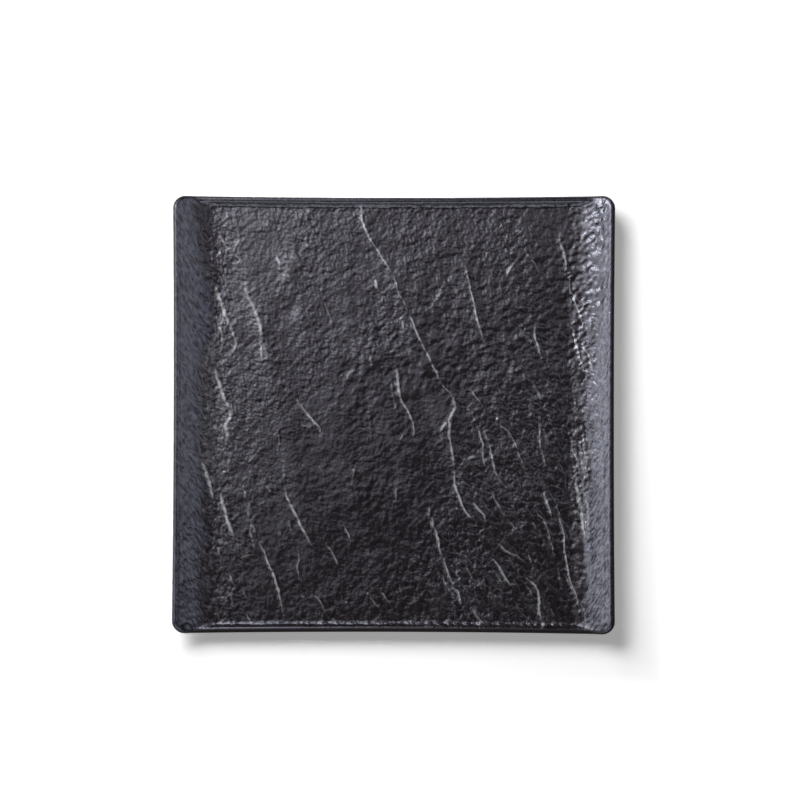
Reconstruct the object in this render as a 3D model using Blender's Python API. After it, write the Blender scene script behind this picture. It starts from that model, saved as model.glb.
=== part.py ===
"""Square serving plate with a cleft slate face, in metres, +Z up, standing on z = 0.

A fired stoneware body carries two coats of dark glaze. Its left and right sides sweep up as wings,
its two ends carry a low rolled rim, and it stands on a bare foot ring. Every surface is the same
form seen at another depth below the upper face, so body and glaze follow one set of sizes.
"""

import math

import bmesh
import bpy
from mathutils import Vector

# Plan of the plate
PLATE_WIDTH = 0.325  # across the two wings, along X
PLATE_DEPTH = 0.3225  # between the two end rims, along Y
CORNER_RADIUS = 0.0095
SIDE_BOW = 0.0008  # how far the middle of a wing's edge lies inside its corners
END_BOW = 0.0013  # the same for an end rim

# Section through the wall
WALL_THICKNESS = 0.0048  # floor and rims alike, glaze included
WING_RUN = 0.036  # from the plate's edge in to where the floor lies flat
WING_RADIUS = 0.056  # upper face of the wing's sweep
WING_SLOPE = math.radians(40)  # steepest the wing may get
END_RUN = 0.0085
END_FILLET = 0.004  # upper face of the curve between floor and end rim
END_SLOPE = math.radians(50)
RIM_MERGE = 6  # sharpness with which an end rim runs out into a wing

# Foot ring
FOOT_HEIGHT = 0.0026
FOOT_WIDTH = 0.0050
FOOT_EDGE = 0.0008  # rounding beside the standing face
FOOT_SIDE_INSET = 0.048  # from the plate's edge to the ring's outer wall, below a wing
FOOT_END_INSET = 0.026  # the same, below an end rim
FOOT_CORNER_RADIUS = 0.016

# Glaze
GLAZE_THICKNESS = 0.0004
GLAZE_GAP = 0.0003  # between a coat and the body it covers

# Cleft ledges across the floor
LEDGE_HEIGHT = 0.0007  # how high the broken edge of the boldest ledge stands
LEDGE_RUN = 0.0016  # width of a ledge's broken edge
# Each as a share of the floor's half width where it starts at the far end, another where it arrives
# at the near end, and a share of the ledge height
CLEFT_LEDGES = (
    (-0.95, -0.38, 0.8),
    (-0.74, 0.00, 0.5),
    (-0.50, 0.40, 0.6),
    (-0.19, 0.72, 1.0),
    (0.30, 0.95, 0.7),
)

# Fineness of the facets
CORNER_STEPS = 4  # in half a corner
WING_STEPS = 4
FLOOR_ROWS = 10
LIP_INNER_STEPS = 3  # from the upper face to the lip's widest line
LIP_OUTER_STEPS = 2  # from there to the underside
UNDERSIDE_STEPS = 4
FOOT_EDGE_STEPS = 2
SHARP_ANGLE = math.radians(40)  # edges that turn more than this are shaded as creases

# Finishes
GLAZE_COLOUR = (0.019, 0.018, 0.021)
GLAZE_ROUGHNESS = 0.38
CLAY_COLOUR = (0.30, 0.27, 0.24)
CLAY_ROUGHNESS = 0.85

# Sizes that follow
HALF_WIDTH = PLATE_WIDTH / 2
HALF_DEPTH = PLATE_DEPTH / 2
LIP_RADIUS = WALL_THICKNESS / 2
LIP_INSET = WALL_THICKNESS  # the rolled lip lies outside this line
FLOOR_TOP = FOOT_HEIGHT + WALL_THICKNESS
BODY_INSET = GLAZE_THICKNESS + GLAZE_GAP  # body's skin, measured in from the finished plate
FLOOR_CORNER_RADIUS = CORNER_RADIUS
FOOT_HALF_WIDTH = HALF_WIDTH - FOOT_SIDE_INSET
FOOT_HALF_DEPTH = HALF_DEPTH - FOOT_END_INSET


def curl_rise(run, radius, slope):
    """Height gained over a level run: an arc of that radius up to the slope, then straight on."""
    turn = radius * math.sin(slope)
    if run <= 0:
        return 0.0
    if run <= turn:
        return radius - math.sqrt(radius * radius - run * run)
    return radius * (1 - math.cos(slope)) + (run - turn) * math.tan(slope)


def sheet_height(x, y, depth):
    """Height of the surface that lies this deep below the plate's upper face, without the ledges."""
    wing = curl_rise(WING_RUN - HALF_WIDTH + abs(x), WING_RADIUS + depth, WING_SLOPE)
    end = curl_rise(END_RUN - HALF_DEPTH + abs(y), END_FILLET + depth, END_SLOPE)
    return FLOOR_TOP - depth + (wing**RIM_MERGE + end**RIM_MERGE) ** (1 / RIM_MERGE)


def bowed(point):
    """The point once the sides are drawn in between the corners."""
    x, y, z = point
    side = SIDE_BOW * max(1 - (y / (HALF_DEPTH - CORNER_RADIUS)) ** 2, 0)
    end = END_BOW * max(1 - (x / (HALF_WIDTH - CORNER_RADIUS)) ** 2, 0)
    return Vector((x * (1 - side / HALF_WIDTH), y * (1 - end / HALF_DEPTH), z))


def ring_point(spine, outward, half_width, half_depth, radius):
    """Point of a rounded rectangle that stands outward of this point of the plate's outline."""
    x = spine.x * (half_width - radius) / (HALF_WIDTH - CORNER_RADIUS)
    y = spine.y * (half_depth - radius) / (HALF_DEPTH - CORNER_RADIUS)
    return Vector((x, y, 0)) + outward * radius


def rim_point(spine, outward, inset):
    """Point of the plate's outline, moved in by the inset."""
    return spine + outward * (CORNER_RADIUS - inset)


def corner_stations(half):
    """Distances from the middle at which the lip's inner line is cut into even steps of its corner."""
    radius = CORNER_RADIUS - LIP_INSET
    steps = [math.tan(math.pi / 4 * step / CORNER_STEPS) for step in range(CORNER_STEPS + 1)]
    return [half - CORNER_RADIUS + radius * step for step in steps]


def plan_columns():
    """Columns from left to right as (x at the near end, x at the far end, lift of the floor there)."""
    floor_half = HALF_WIDTH - WING_RUN
    corner = corner_stations(HALF_WIDTH)
    step = (corner[0] - floor_half) / WING_STEPS
    wing = [floor_half + step * count for count in range(WING_STEPS)] + corner
    columns = [(-x, -x, 0.0) for x in reversed(wing)]
    last = None
    for far, near, boldness in CLEFT_LEDGES:
        if last:
            columns.append(((last[1] + near) / 2 * floor_half, (last[0] + far) / 2 * floor_half, 0.0))
        foot = (near * floor_half - LEDGE_RUN / 2, far * floor_half - LEDGE_RUN / 2)
        columns.append((*foot, 0.0))
        columns.append((foot[0] + LEDGE_RUN, foot[1] + LEDGE_RUN, boldness * LEDGE_HEIGHT))
        last = (far, near)
    return columns + [(x, x, 0.0) for x in wing]


def plan_rows():
    """Rows from the near end to the far end."""
    corner = corner_stations(HALF_DEPTH)
    floor = [corner[0] * (2 * row / FLOOR_ROWS - 1) for row in range(1, FLOOR_ROWS)]
    return [-y for y in reversed(corner)] + floor + corner


def rounded(x, y):
    """The grid point once the grid's square corners are drawn in to the lip's inner line."""
    radius = CORNER_RADIUS - LIP_INSET
    across = max(abs(x) - HALF_WIDTH + CORNER_RADIUS, 0)
    along = max(abs(y) - HALF_DEPTH + CORNER_RADIUS, 0)
    reach = math.hypot(across, along)
    if not across or not along:
        return x, y
    share = min(max(across, along), radius) / reach
    x = math.copysign(HALF_WIDTH - CORNER_RADIUS + across * share, x)
    y = math.copysign(HALF_DEPTH - CORNER_RADIUS + along * share, y)
    return x, y


def upper_face(depth):
    """Open sheet over floor, wings and end rims, up to the lip, at this depth below the upper face.

    Each vertex of its rim keeps where it hangs on the outline: its spine point and outward direction.
    """
    columns, rows = plan_columns(), plan_rows()
    sheet = bmesh.new()
    bmesh.ops.create_grid(sheet, x_segments=len(columns) - 1, y_segments=len(rows) - 1, size=1)
    spine = sheet.verts.layers.float_vector.new("spine")
    outward = sheet.verts.layers.float_vector.new("outward")
    for vert in sheet.verts:
        near, far, lift = columns[round((vert.co.x + 1) / 2 * (len(columns) - 1))]
        y = rows[round((vert.co.y + 1) / 2 * (len(rows) - 1))]
        share = (y / rows[-1] + 1) / 2
        x, y = rounded(near + (far - near) * share, y)
        ledge = lift * math.sin(math.pi * share)
        vert.co = Vector((x, y, sheet_height(x, y, depth) + ledge))
        if vert.is_boundary:
            limit_x, limit_y = HALF_WIDTH - CORNER_RADIUS, HALF_DEPTH - CORNER_RADIUS
            root = Vector((min(max(x, -limit_x), limit_x), min(max(y, -limit_y), limit_y), 0))
            vert[spine] = root
            vert[outward] = (Vector((x, y, 0)) - root).normalized()
    return sheet


def pull_ring(sheet, place):
    """Extrudes the sheet's open rim by one ring, whose vertices go where place puts them."""
    rim = [edge for edge in sheet.edges if edge.is_boundary]
    made = bmesh.ops.extrude_edge_only(sheet, edges=rim)["geom"]
    spine = sheet.verts.layers.float_vector["spine"]
    outward = sheet.verts.layers.float_vector["outward"]
    for vert in (item for item in made if isinstance(item, bmesh.types.BMVert)):
        vert.co = place(Vector(vert[spine]), Vector(vert[outward]))


def lip_point(spine, outward, turn, inset):
    """Point on the rolled lip: a turn of 1 leaves the upper face, 0 is widest, -1 meets the underside."""
    centre = rim_point(spine, outward, LIP_RADIUS)
    probe = outward * GLAZE_THICKNESS
    ahead, behind = centre + probe, centre - probe
    climb = sheet_height(ahead.x, ahead.y, LIP_RADIUS) - sheet_height(behind.x, behind.y, LIP_RADIUS)
    lean = math.atan2(climb, 2 * probe.length)
    angle = math.pi / 2 * turn + lean * abs(turn)
    centre.z = sheet_height(centre.x, centre.y, LIP_RADIUS)
    roll = outward * math.cos(angle) + Vector((0, 0, math.sin(angle)))
    return centre + roll * (LIP_RADIUS - inset)


def floor_edge(spine, outward):
    """Where the floor's flat part ends, inward of this point of the outline."""
    return ring_point(
        spine, outward, HALF_WIDTH - WING_RUN, HALF_DEPTH - END_RUN, FLOOR_CORNER_RADIUS
    )


def underside_point(spine, outward, share, inset):
    """Point on the underside, from the lip at share 0 to the floor's edge at share 1."""
    start = lip_point(spine, outward, -1, inset)
    point = start.lerp(floor_edge(spine, outward), share)
    point.z = sheet_height(point.x, point.y, WALL_THICKNESS - inset)
    return point


def pull_lip_and_underside(sheet, inset):
    """Rolls the sheet over the lip and in below the rims, at this inset from the finished plate."""
    turns = [1 - step / LIP_INNER_STEPS for step in range(LIP_INNER_STEPS + 1)]
    turns += [-(step + 1) / LIP_OUTER_STEPS for step in range(LIP_OUTER_STEPS)]
    for turn in turns:
        pull_ring(sheet, lambda spine, outward: lip_point(spine, outward, turn, inset))
    for step in range(1, UNDERSIDE_STEPS + 1):
        share = step / UNDERSIDE_STEPS
        pull_ring(sheet, lambda spine, outward: underside_point(spine, outward, share, inset))


def foot_point(spine, outward, inset, height):
    """Point of the foot ring, this far in from its outer wall and this high above the table."""
    point = ring_point(
        spine,
        outward,
        FOOT_HALF_WIDTH - inset,
        FOOT_HALF_DEPTH - inset,
        FOOT_CORNER_RADIUS - inset,
    )
    point.z = height
    return point


def foot_profile():
    """The ring's section as (inset, height), down its outer wall, across and up its inner wall."""
    outer = []
    for step in range(FOOT_EDGE_STEPS + 1):
        angle = math.pi / 2 * step / FOOT_EDGE_STEPS
        outer.append((FOOT_EDGE * (1 - math.cos(angle)), FOOT_EDGE * (1 - math.sin(angle))))
    inner = [(FOOT_WIDTH - inset, height) for inset, height in reversed(outer)]
    root = FOOT_HEIGHT + BODY_INSET
    return [(0, root)] + outer + inner + [(FOOT_WIDTH, root)]


def finish(mesh, name, material):
    """Turns the bmesh into a named object with its sides bowed, smooth shading and a material."""
    for vert in mesh.verts:
        vert.co = bowed(vert.co)
    data = bpy.data.meshes.new(name)
    mesh.to_mesh(data)
    mesh.free()
    data.materials.append(material)
    data.shade_smooth()
    data.set_sharp_from_angle(angle=SHARP_ANGLE)
    made = bpy.data.objects.new(name, data)
    bpy.context.scene.collection.objects.link(made)
    return made


def coat(made):
    """Gives a sheet of glaze its thickness, on the side that faces the body."""
    solidify = made.modifiers.new("glaze_thickness", "SOLIDIFY")
    solidify.thickness = GLAZE_THICKNESS
    solidify.offset = -1
    solidify.use_even_offset = True
    return made


def stoneware_body(material):
    """The fired body: upper face, lip and underside inside the glaze, with the foot ring bare."""
    mesh = upper_face(BODY_INSET)
    pull_lip_and_underside(mesh, BODY_INSET)
    for inset, height in foot_profile():
        pull_ring(mesh, lambda spine, outward: foot_point(spine, outward, inset, height))
    bmesh.ops.holes_fill(mesh, edges=[edge for edge in mesh.edges if edge.is_boundary])
    bmesh.ops.recalc_face_normals(mesh, faces=mesh.faces)
    return finish(mesh, "stoneware_body", material)


def outer_glaze(material):
    """The coat over the face, the lip and the underside, ending at the foot ring's outer wall."""
    mesh = upper_face(0)
    pull_lip_and_underside(mesh, 0)
    pull_ring(mesh, lambda spine, outward: foot_point(spine, outward, -GLAZE_GAP, FOOT_HEIGHT))
    return coat(finish(mesh, "outer_glaze", material))


def base_glaze(material):
    """The coat on the recess inside the foot ring."""
    inset = FOOT_WIDTH + GLAZE_GAP
    mesh = bmesh.new()
    bmesh.ops.create_grid(mesh, x_segments=FLOOR_ROWS, y_segments=FLOOR_ROWS, size=1)
    bmesh.ops.scale(
        mesh, verts=mesh.verts, vec=(FOOT_HALF_WIDTH - inset, FOOT_HALF_DEPTH - inset, 1)
    )
    bmesh.ops.bevel(
        mesh,
        geom=[vert for vert in mesh.verts if len(vert.link_faces) == 1],
        affect="VERTICES",
        offset=FOOT_CORNER_RADIUS - inset,
        offset_type="OFFSET",
        segments=2 * CORNER_STEPS,
        profile=0.5,
        material=-1,
    )
    bmesh.ops.translate(mesh, verts=mesh.verts, vec=(0, 0, FOOT_HEIGHT))
    bmesh.ops.reverse_faces(mesh, faces=mesh.faces)
    return coat(finish(mesh, "base_glaze", material))


def opaque_material(name, colour, roughness):
    """A plain opaque material of one colour."""
    material = bpy.data.materials.new(name)
    material.use_nodes = True
    shader = material.node_tree.nodes["Principled BSDF"]
    shader.inputs["Base Color"].default_value = (*colour, 1)
    shader.inputs["Roughness"].default_value = roughness
    shader.inputs["Metallic"].default_value = 0
    return material


def main():
    """Builds the plate in an empty scene."""
    for old in list(bpy.data.objects):
        bpy.data.objects.remove(old)
    stoneware_body(opaque_material("bare_stoneware", CLAY_COLOUR, CLAY_ROUGHNESS))
    outer_glaze(opaque_material("dark_glaze", GLAZE_COLOUR, GLAZE_ROUGHNESS))
    base_glaze(opaque_material("dark_base_glaze", GLAZE_COLOUR, GLAZE_ROUGHNESS))


if __name__ == "__main__":
    main()
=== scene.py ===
"""Dresses the square plate: a cleft dark glaze over its stoneware body, in a white studio."""

import logging
import math
from dataclasses import dataclass
from enum import Enum
from typing import Any, Union

import bmesh
import bpy
import numpy as np
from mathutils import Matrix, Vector, noise


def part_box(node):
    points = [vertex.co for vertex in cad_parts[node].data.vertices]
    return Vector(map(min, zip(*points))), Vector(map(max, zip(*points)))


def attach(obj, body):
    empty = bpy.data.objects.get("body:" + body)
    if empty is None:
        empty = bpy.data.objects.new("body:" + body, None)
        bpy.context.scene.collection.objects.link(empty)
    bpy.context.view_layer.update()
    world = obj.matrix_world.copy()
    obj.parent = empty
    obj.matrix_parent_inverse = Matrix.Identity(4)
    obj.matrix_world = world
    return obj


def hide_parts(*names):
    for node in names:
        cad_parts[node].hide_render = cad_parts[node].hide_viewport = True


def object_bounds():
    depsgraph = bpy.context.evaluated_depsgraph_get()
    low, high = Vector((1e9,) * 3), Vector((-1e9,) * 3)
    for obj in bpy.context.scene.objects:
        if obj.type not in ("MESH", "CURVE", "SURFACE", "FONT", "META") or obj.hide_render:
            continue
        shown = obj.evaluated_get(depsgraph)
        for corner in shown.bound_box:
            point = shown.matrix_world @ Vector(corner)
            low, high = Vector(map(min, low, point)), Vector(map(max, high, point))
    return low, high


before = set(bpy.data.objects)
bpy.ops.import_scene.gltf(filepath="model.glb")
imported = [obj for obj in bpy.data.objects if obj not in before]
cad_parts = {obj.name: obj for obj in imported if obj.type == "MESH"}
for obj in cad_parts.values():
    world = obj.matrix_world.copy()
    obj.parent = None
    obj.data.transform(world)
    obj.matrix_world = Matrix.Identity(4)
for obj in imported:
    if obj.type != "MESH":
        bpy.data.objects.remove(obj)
CAD_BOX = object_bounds()

LOG = logging.getLogger("square_plate")
MM = 0.001

COAT_ATTRIBUTES = ("rugged", "band", "vein", "aside", "thin", "crest", "creased", "gloss")

Colour = tuple[float, float, float]
Operand = Union["Number", float]


class Number:
    """A value socket whose arithmetic adds Math nodes to the recipe it belongs to."""

    def __init__(self, recipe: "Recipe", socket: bpy.types.NodeSocket) -> None:
        """Keeps the socket and the recipe that new nodes go into."""
        self.recipe = recipe
        self.socket = socket

    def math(self, operation: str, *terms: Operand) -> "Number":
        """Adds one Math node.

        Args:
            operation: Name of the Math node's operation.
            *terms: Its inputs, in order.

        Returns:
            The node's result.
        """
        settings = {"operation": operation}
        return self.recipe.number("ShaderNodeMath", settings, dict(enumerate(terms)))

    def __add__(self, other: Operand) -> "Number":
        """Sum."""
        return self.math("ADD", self, other)

    def __radd__(self, other: Operand) -> "Number":
        """Sum with the number on the left."""
        return self.math("ADD", other, self)

    def __sub__(self, other: Operand) -> "Number":
        """Difference."""
        return self.math("SUBTRACT", self, other)

    def __rsub__(self, other: Operand) -> "Number":
        """Difference with the number on the left."""
        return self.math("SUBTRACT", other, self)

    def __mul__(self, other: Operand) -> "Number":
        """Product."""
        return self.math("MULTIPLY", self, other)

    def __rmul__(self, other: Operand) -> "Number":
        """Product with the number on the left."""
        return self.math("MULTIPLY", other, self)

    def spread(self, low: float, high: float) -> "Number":
        """Stretches a range over 0 to 1, with soft ends, and cuts off what lies outside.

        Args:
            low: What becomes 0.
            high: What becomes 1.

        Returns:
            The stretched number.
        """
        return self.recipe.number(
            "ShaderNodeMapRange",
            {"interpolation_type": "SMOOTHSTEP"},
            {"Value": self, "From Min": low, "From Max": high},
        )


class Recipe:
    """The node tree of one material or of the world, written from its shader outwards."""

    def __init__(self, owner: Union[bpy.types.Material, bpy.types.World]) -> None:
        """Starts on the nodes that a new material or world comes with.

        Args:
            owner: The material or world.
        """
        owner.use_nodes = True
        self.owner = owner
        self.tree = owner.node_tree
        shader = "Background" if isinstance(owner, bpy.types.World) else "Principled BSDF"
        self.shader = self.tree.nodes[shader]

    def node(self, kind: str, settings: dict[str, Any], inputs: dict[Any, Any]) -> bpy.types.Node:
        """Adds a node.

        Args:
            kind: The node's type.
            settings: Its properties, set before its sockets.
            inputs: Values, sockets or numbers for its inputs, by name or index.

        Returns:
            The new node.
        """
        node = self.tree.nodes.new(kind)
        for key, value in settings.items():
            setattr(node, key, value)
        self.feed(node, inputs)
        return node

    def feed(self, node: bpy.types.Node, inputs: dict[Any, Any]) -> None:
        """Sets or links a node's inputs.

        Args:
            node: The node to feed.
            inputs: Values, sockets or numbers for its inputs, by name or index.
        """
        for key, value in inputs.items():
            if isinstance(value, Number):
                value = value.socket
            if isinstance(value, bpy.types.NodeSocket):
                self.tree.links.new(value, node.inputs[key])
            else:
                node.inputs[key].default_value = value

    def number(self, kind: str, settings: dict[str, Any], inputs: dict[Any, Any]) -> Number:
        """Adds a node and returns its first output, as a number."""
        return Number(self, self.node(kind, settings, inputs).outputs[0])

    def numbers(self, kind: str, inputs: dict[Any, Any], *names: str) -> list[Number]:
        """Adds a node and returns its outputs of those names, as numbers."""
        node = self.node(kind, {}, inputs)
        return [Number(self, node.outputs[name]) for name in names]

    def vector(self, operation: str, first: Any, second: Any) -> bpy.types.NodeSocket:
        """Adds a Vector Math node and returns its result."""
        settings = {"operation": operation}
        return self.node("ShaderNodeVectorMath", settings, {0: first, 1: second}).outputs[0]

    def place(
        self, turn: float = 0.0, stretch: tuple[float, float] = (1.0, 1.0), mirrored: bool = False
    ) -> bpy.types.NodeSocket:
        """Gives the object's own coordinates, turned about Z and then stretched.

        Args:
            turn: Angle in radians by which the pattern turns.
            stretch: Factors along the turned X and Y.
            mirrored: Whether the left half mirrors the right half.

        Returns:
            The coordinates' socket.
        """
        spot = self.node("ShaderNodeTexCoord", {}, {}).outputs["Object"]
        if mirrored:
            spot = self.vector("MAXIMUM", spot, self.vector("MULTIPLY", spot, (-1, 1, 1)))
        mapping = self.node(
            "ShaderNodeMapping",
            {"vector_type": "TEXTURE"},
            {"Vector": spot, "Rotation": (0, 0, turn), "Scale": (*stretch, 1)},
        )
        return mapping.outputs[0]

    def grain(self, size: float, spot: bpy.types.NodeSocket, detail: float = 2.0) -> Number:
        """Adds noise.

        Args:
            size: Size of its cells, in metres.
            spot: The coordinates that it is laid on.
            detail: How many finer layers it has.

        Returns:
            The noise, from 0 to 1.
        """
        return self.number(
            "ShaderNodeTexNoise", {}, {"Vector": spot, "Scale": 1 / size, "Detail": detail}
        )

    def stored(self, name: str) -> Number:
        """Reads one of the mesh's own attributes."""
        node = self.node("ShaderNodeAttribute", {"attribute_name": name}, {})
        return Number(self, node.outputs["Fac"])

    def blend(self, share: Number, low: Any, high: Any) -> bpy.types.NodeSocket:
        """Mixes two colours.

        Args:
            share: How much of the second colour shows.
            low: The first colour, as numbers or a socket.
            high: The second colour.

        Returns:
            The mixed colour's socket.
        """
        ends = [(*end, 1.0) if isinstance(end, tuple) else end for end in (low, high)]
        node = self.node("ShaderNodeMix", {"data_type": "RGBA"}, {0: share, 6: ends[0], 7: ends[1]})
        return node.outputs[2]

    def bump(self, height: Number, relief: float) -> bpy.types.NodeSocket:
        """Turns a height from 0 to 1 into a normal, with that much relief in metres."""
        return self.node("ShaderNodeBump", {}, {"Distance": relief, "Height": height}).outputs[0]

    def cover(self, share: Number, inputs: dict[Any, Any]) -> None:
        """Lays a second Principled shader over the first.

        Args:
            share: How much of the second shader shows.
            inputs: What feeds the second shader.
        """
        second = self.node("ShaderNodeBsdfPrincipled", {}, inputs)
        layers = {"Fac": share, 1: self.shader.outputs[0], 2: second.outputs[0]}
        mixed = self.node("ShaderNodeMixShader", {}, layers)
        self.feed(self.tree.nodes["Material Output"], {"Surface": mixed.outputs[0]})

    def seen(self, mirror_share: Operand = 1.0) -> Number:
        """Tells rays that show the studio itself from rays that only carry its light.

        Args:
            mirror_share: How much of the studio mirrored rays show.

        Returns:
            1 for rays from the camera and through glass, the share for mirrored rays, or 0.
        """
        kinds = ("Is Camera Ray", "Is Glossy Ray", "Is Transmission Ray")
        straight, mirrored, through = self.numbers("ShaderNodeLightPath", {}, *kinds)
        mirrored = mirrored * mirror_share
        return straight.math("MAXIMUM", straight, straight.math("MAXIMUM", mirrored, through))


@dataclass(frozen=True)
class SlateGlaze:
    """Dark satin glaze that thins out over a stone-like relief and breaks pale along its veins."""

    pooled: Colour = (0.0050, 0.0023, 0.0033)
    thin: Colour = (0.0106, 0.0071, 0.0086)
    # Colour of the smooth wing bands and the top rim: lighter and bluer than the pooled glaze. It
    # is partly a painted bluish sheen on the bands and painted light over the shaded foot of the
    # top rim's wall.
    rim: Colour = (0.031, 0.0335, 0.0545)
    broken: Colour = (0.29, 0.29, 0.305)
    roughness: float = 0.22
    roughness_play: float = 0.08
    dry: Colour = (0.0075, 0.0068, 0.0080)
    dry_roughness: float = 0.6
    dry_specular: float = 0.12
    grain_turn: float = math.radians(45)
    grain_size: float = 1.9 * MM
    grain_stretch: tuple[float, float] = (0.85, 1.3)
    speck_size: float = 0.8 * MM
    brush_size: float = 1.7 * MM
    brush_turn: float = math.radians(62)
    brush_stretch: tuple[float, float] = (3.0, 1.0)
    brush_gloss: float = 1.0
    brush_roughness: float = 0.25
    fold_size: float = 5.2 * MM
    fold_turn: float = math.radians(-65)
    fold_stretch: tuple[float, float] = (1.5, 1.0)
    crease_sharpness: float = 7.0
    # How pale the crease web is. This is partly a painted highlight on the creases' relief.
    web_paleness_and_highlight: float = 0.05
    vein_waver: float = 0.9
    vein_core: tuple[float, float] = (0.05, 1.25)
    vein_haze: float = 0.16
    mottle_size: float = 3.2 * MM
    mottle_stretch: tuple[float, float] = (2.2, 1.0)
    cloud_size: float = 26 * MM
    relief: float = 0.27 * MM
    fold_relief: float = 0.10 * MM
    brush_relief: float = 0.4 * MM
    specular: float = 0.85
    sheen: Colour = (0.805, 0.835, 1.0)

    def material(self, name: str) -> bpy.types.Material:
        """Makes the glaze.

        Args:
            name: The material's name.

        Returns:
            A material that reads the coat's own attributes.
        """
        recipe = Recipe(bpy.data.materials.new(name))
        rugged, band, vein, aside, thin, crest, creased, gloss = (
            recipe.stored(key) for key in COAT_ATTRIBUTES
        )
        stroke_spot = recipe.place(self.grain_turn, self.grain_stretch)
        brush_spot = recipe.place(self.brush_turn, self.brush_stretch, mirrored=True)
        mottle_spot = recipe.place(self.fold_turn, self.mottle_stretch)
        fold_spot = recipe.place(self.fold_turn, self.fold_stretch)
        strokes = recipe.grain(self.grain_size, stroke_spot, 0.5)
        specks = recipe.grain(self.speck_size, recipe.place(), 1.0)
        brushed = recipe.grain(self.brush_size, brush_spot, 1.5)
        mottle = recipe.grain(self.mottle_size, mottle_spot, 2.0)
        clouds = recipe.grain(self.cloud_size, recipe.place(), 3.0)
        bend = recipe.grain(self.fold_size, fold_spot, 1.2)
        crease = 1 - bend.math("ABSOLUTE", bend - 0.5) * self.crease_sharpness
        crease = crease.spread(0.0, 1.0)
        web = crease * creased * rugged * (0.15 + 0.85 * mottle.spread(0.38, 0.62))
        wavering = aside + (strokes - 0.5) * self.vein_waver
        core = 1 - wavering.math("ABSOLUTE", wavering).spread(*self.vein_core)
        line = vein * (self.vein_haze + (1 - self.vein_haze) * core)
        bare = line.math("MAXIMUM", line * (0.6 + strokes * 0.8), thin * (0.4 + strokes))
        thinness = (crest * (0.6 + clouds * 0.8)).spread(0.15, 0.95)
        colour = recipe.blend(thinness, self.pooled, self.thin)
        wash = brushed.spread(0.34, 0.66)
        washed = mottle.spread(0.35, 0.65) * 0.5 + wash * 0.8
        # The band colour laid here is partly a painted sheen on the wing bands and painted light on
        # the shaded foot of the top rim's wall.
        colour = recipe.blend(band * washed, colour, self.rim)
        # The crease web's pale colour is partly a painted highlight on the creases' relief.
        colour = recipe.blend(web * self.web_paleness_and_highlight, colour, self.broken)
        # Pale veins and thin-glaze spots are laid here, and with them the painted glints on the
        # bottom rim and the painted highlight along the right welt.
        colour = recipe.blend(bare.spread(0.08, 0.9), colour, self.broken)
        ruggedness = (strokes * 0.9 + specks * 0.1) * rugged
        folds = web * (self.fold_relief / self.relief)
        brushing = brushed * band * (self.brush_relief / self.relief)
        normal = recipe.bump((ruggedness + folds) * (1 - 0.8 * line) + brushing, self.relief)
        recipe.feed(
            recipe.shader,
            {
                "Base Color": colour,
                "Roughness": self.roughness + (clouds - 0.5) * self.roughness_play,
                "Specular IOR Level": self.specular,
                "Specular Tint": (*self.sheen, 1),
                "Coat Weight": band * wash * self.brush_gloss,
                "Coat Roughness": self.brush_roughness,
                "Normal": normal,
            },
        )
        recipe.cover(
            1 - gloss,
            {
                "Base Color": recipe.blend(clouds, self.pooled, self.dry),
                "Roughness": self.dry_roughness,
                "Specular IOR Level": self.dry_specular,
                "Normal": normal,
            },
        )
        return recipe.owner


@dataclass(frozen=True)
class PlainGlaze:
    """The same dark glaze on the smooth base, with a faint orange-peel surface."""

    pooled: Colour = (0.0115, 0.0102, 0.0110)
    thin: Colour = (0.020, 0.019, 0.021)
    roughness: float = 0.34
    peel_size: float = 2.2 * MM
    cloud_size: float = 30 * MM
    relief: float = 0.04 * MM

    def material(self, name: str) -> bpy.types.Material:
        """Makes the glaze.

        Args:
            name: The material's name.

        Returns:
            The material.
        """
        recipe = Recipe(bpy.data.materials.new(name))
        peel = recipe.grain(self.peel_size, recipe.place())
        clouds = recipe.grain(self.cloud_size, recipe.place(), 3.0)
        recipe.feed(
            recipe.shader,
            {
                "Base Color": recipe.blend(clouds.spread(0.35, 0.7), self.pooled, self.thin),
                "Roughness": self.roughness + clouds * 0.12,
                "Normal": recipe.bump(peel, self.relief),
            },
        )
        return recipe.owner


@dataclass(frozen=True)
class BareStoneware:
    """Unglazed fired clay: a warm grey with fine dark and pale grog."""

    clay: Colour = (0.30, 0.27, 0.24)
    iron: Colour = (0.13, 0.11, 0.095)
    chalk: Colour = (0.47, 0.44, 0.40)
    roughness: float = 0.82
    grog_size: float = 0.7 * MM
    cloud_size: float = 14 * MM
    relief: float = 0.06 * MM

    def material(self, name: str) -> bpy.types.Material:
        """Makes the clay.

        Args:
            name: The material's name.

        Returns:
            The material.
        """
        recipe = Recipe(bpy.data.materials.new(name))
        grog = recipe.grain(self.grog_size, recipe.place(), 3.0)
        clouds = recipe.grain(self.cloud_size, recipe.place(), 3.0)
        colour = recipe.blend(grog.spread(0.62, 0.74), self.clay, self.chalk)
        colour = recipe.blend((1 - grog).spread(0.62, 0.74), colour, self.iron)
        colour = recipe.blend(clouds.spread(0.45, 0.8) * 0.35, colour, self.iron)
        recipe.feed(
            recipe.shader,
            {
                "Base Color": colour,
                "Roughness": self.roughness + (grog - 0.5) * 0.2,
                "Normal": recipe.bump(grog, self.relief),
            },
        )
        return recipe.owner


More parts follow.
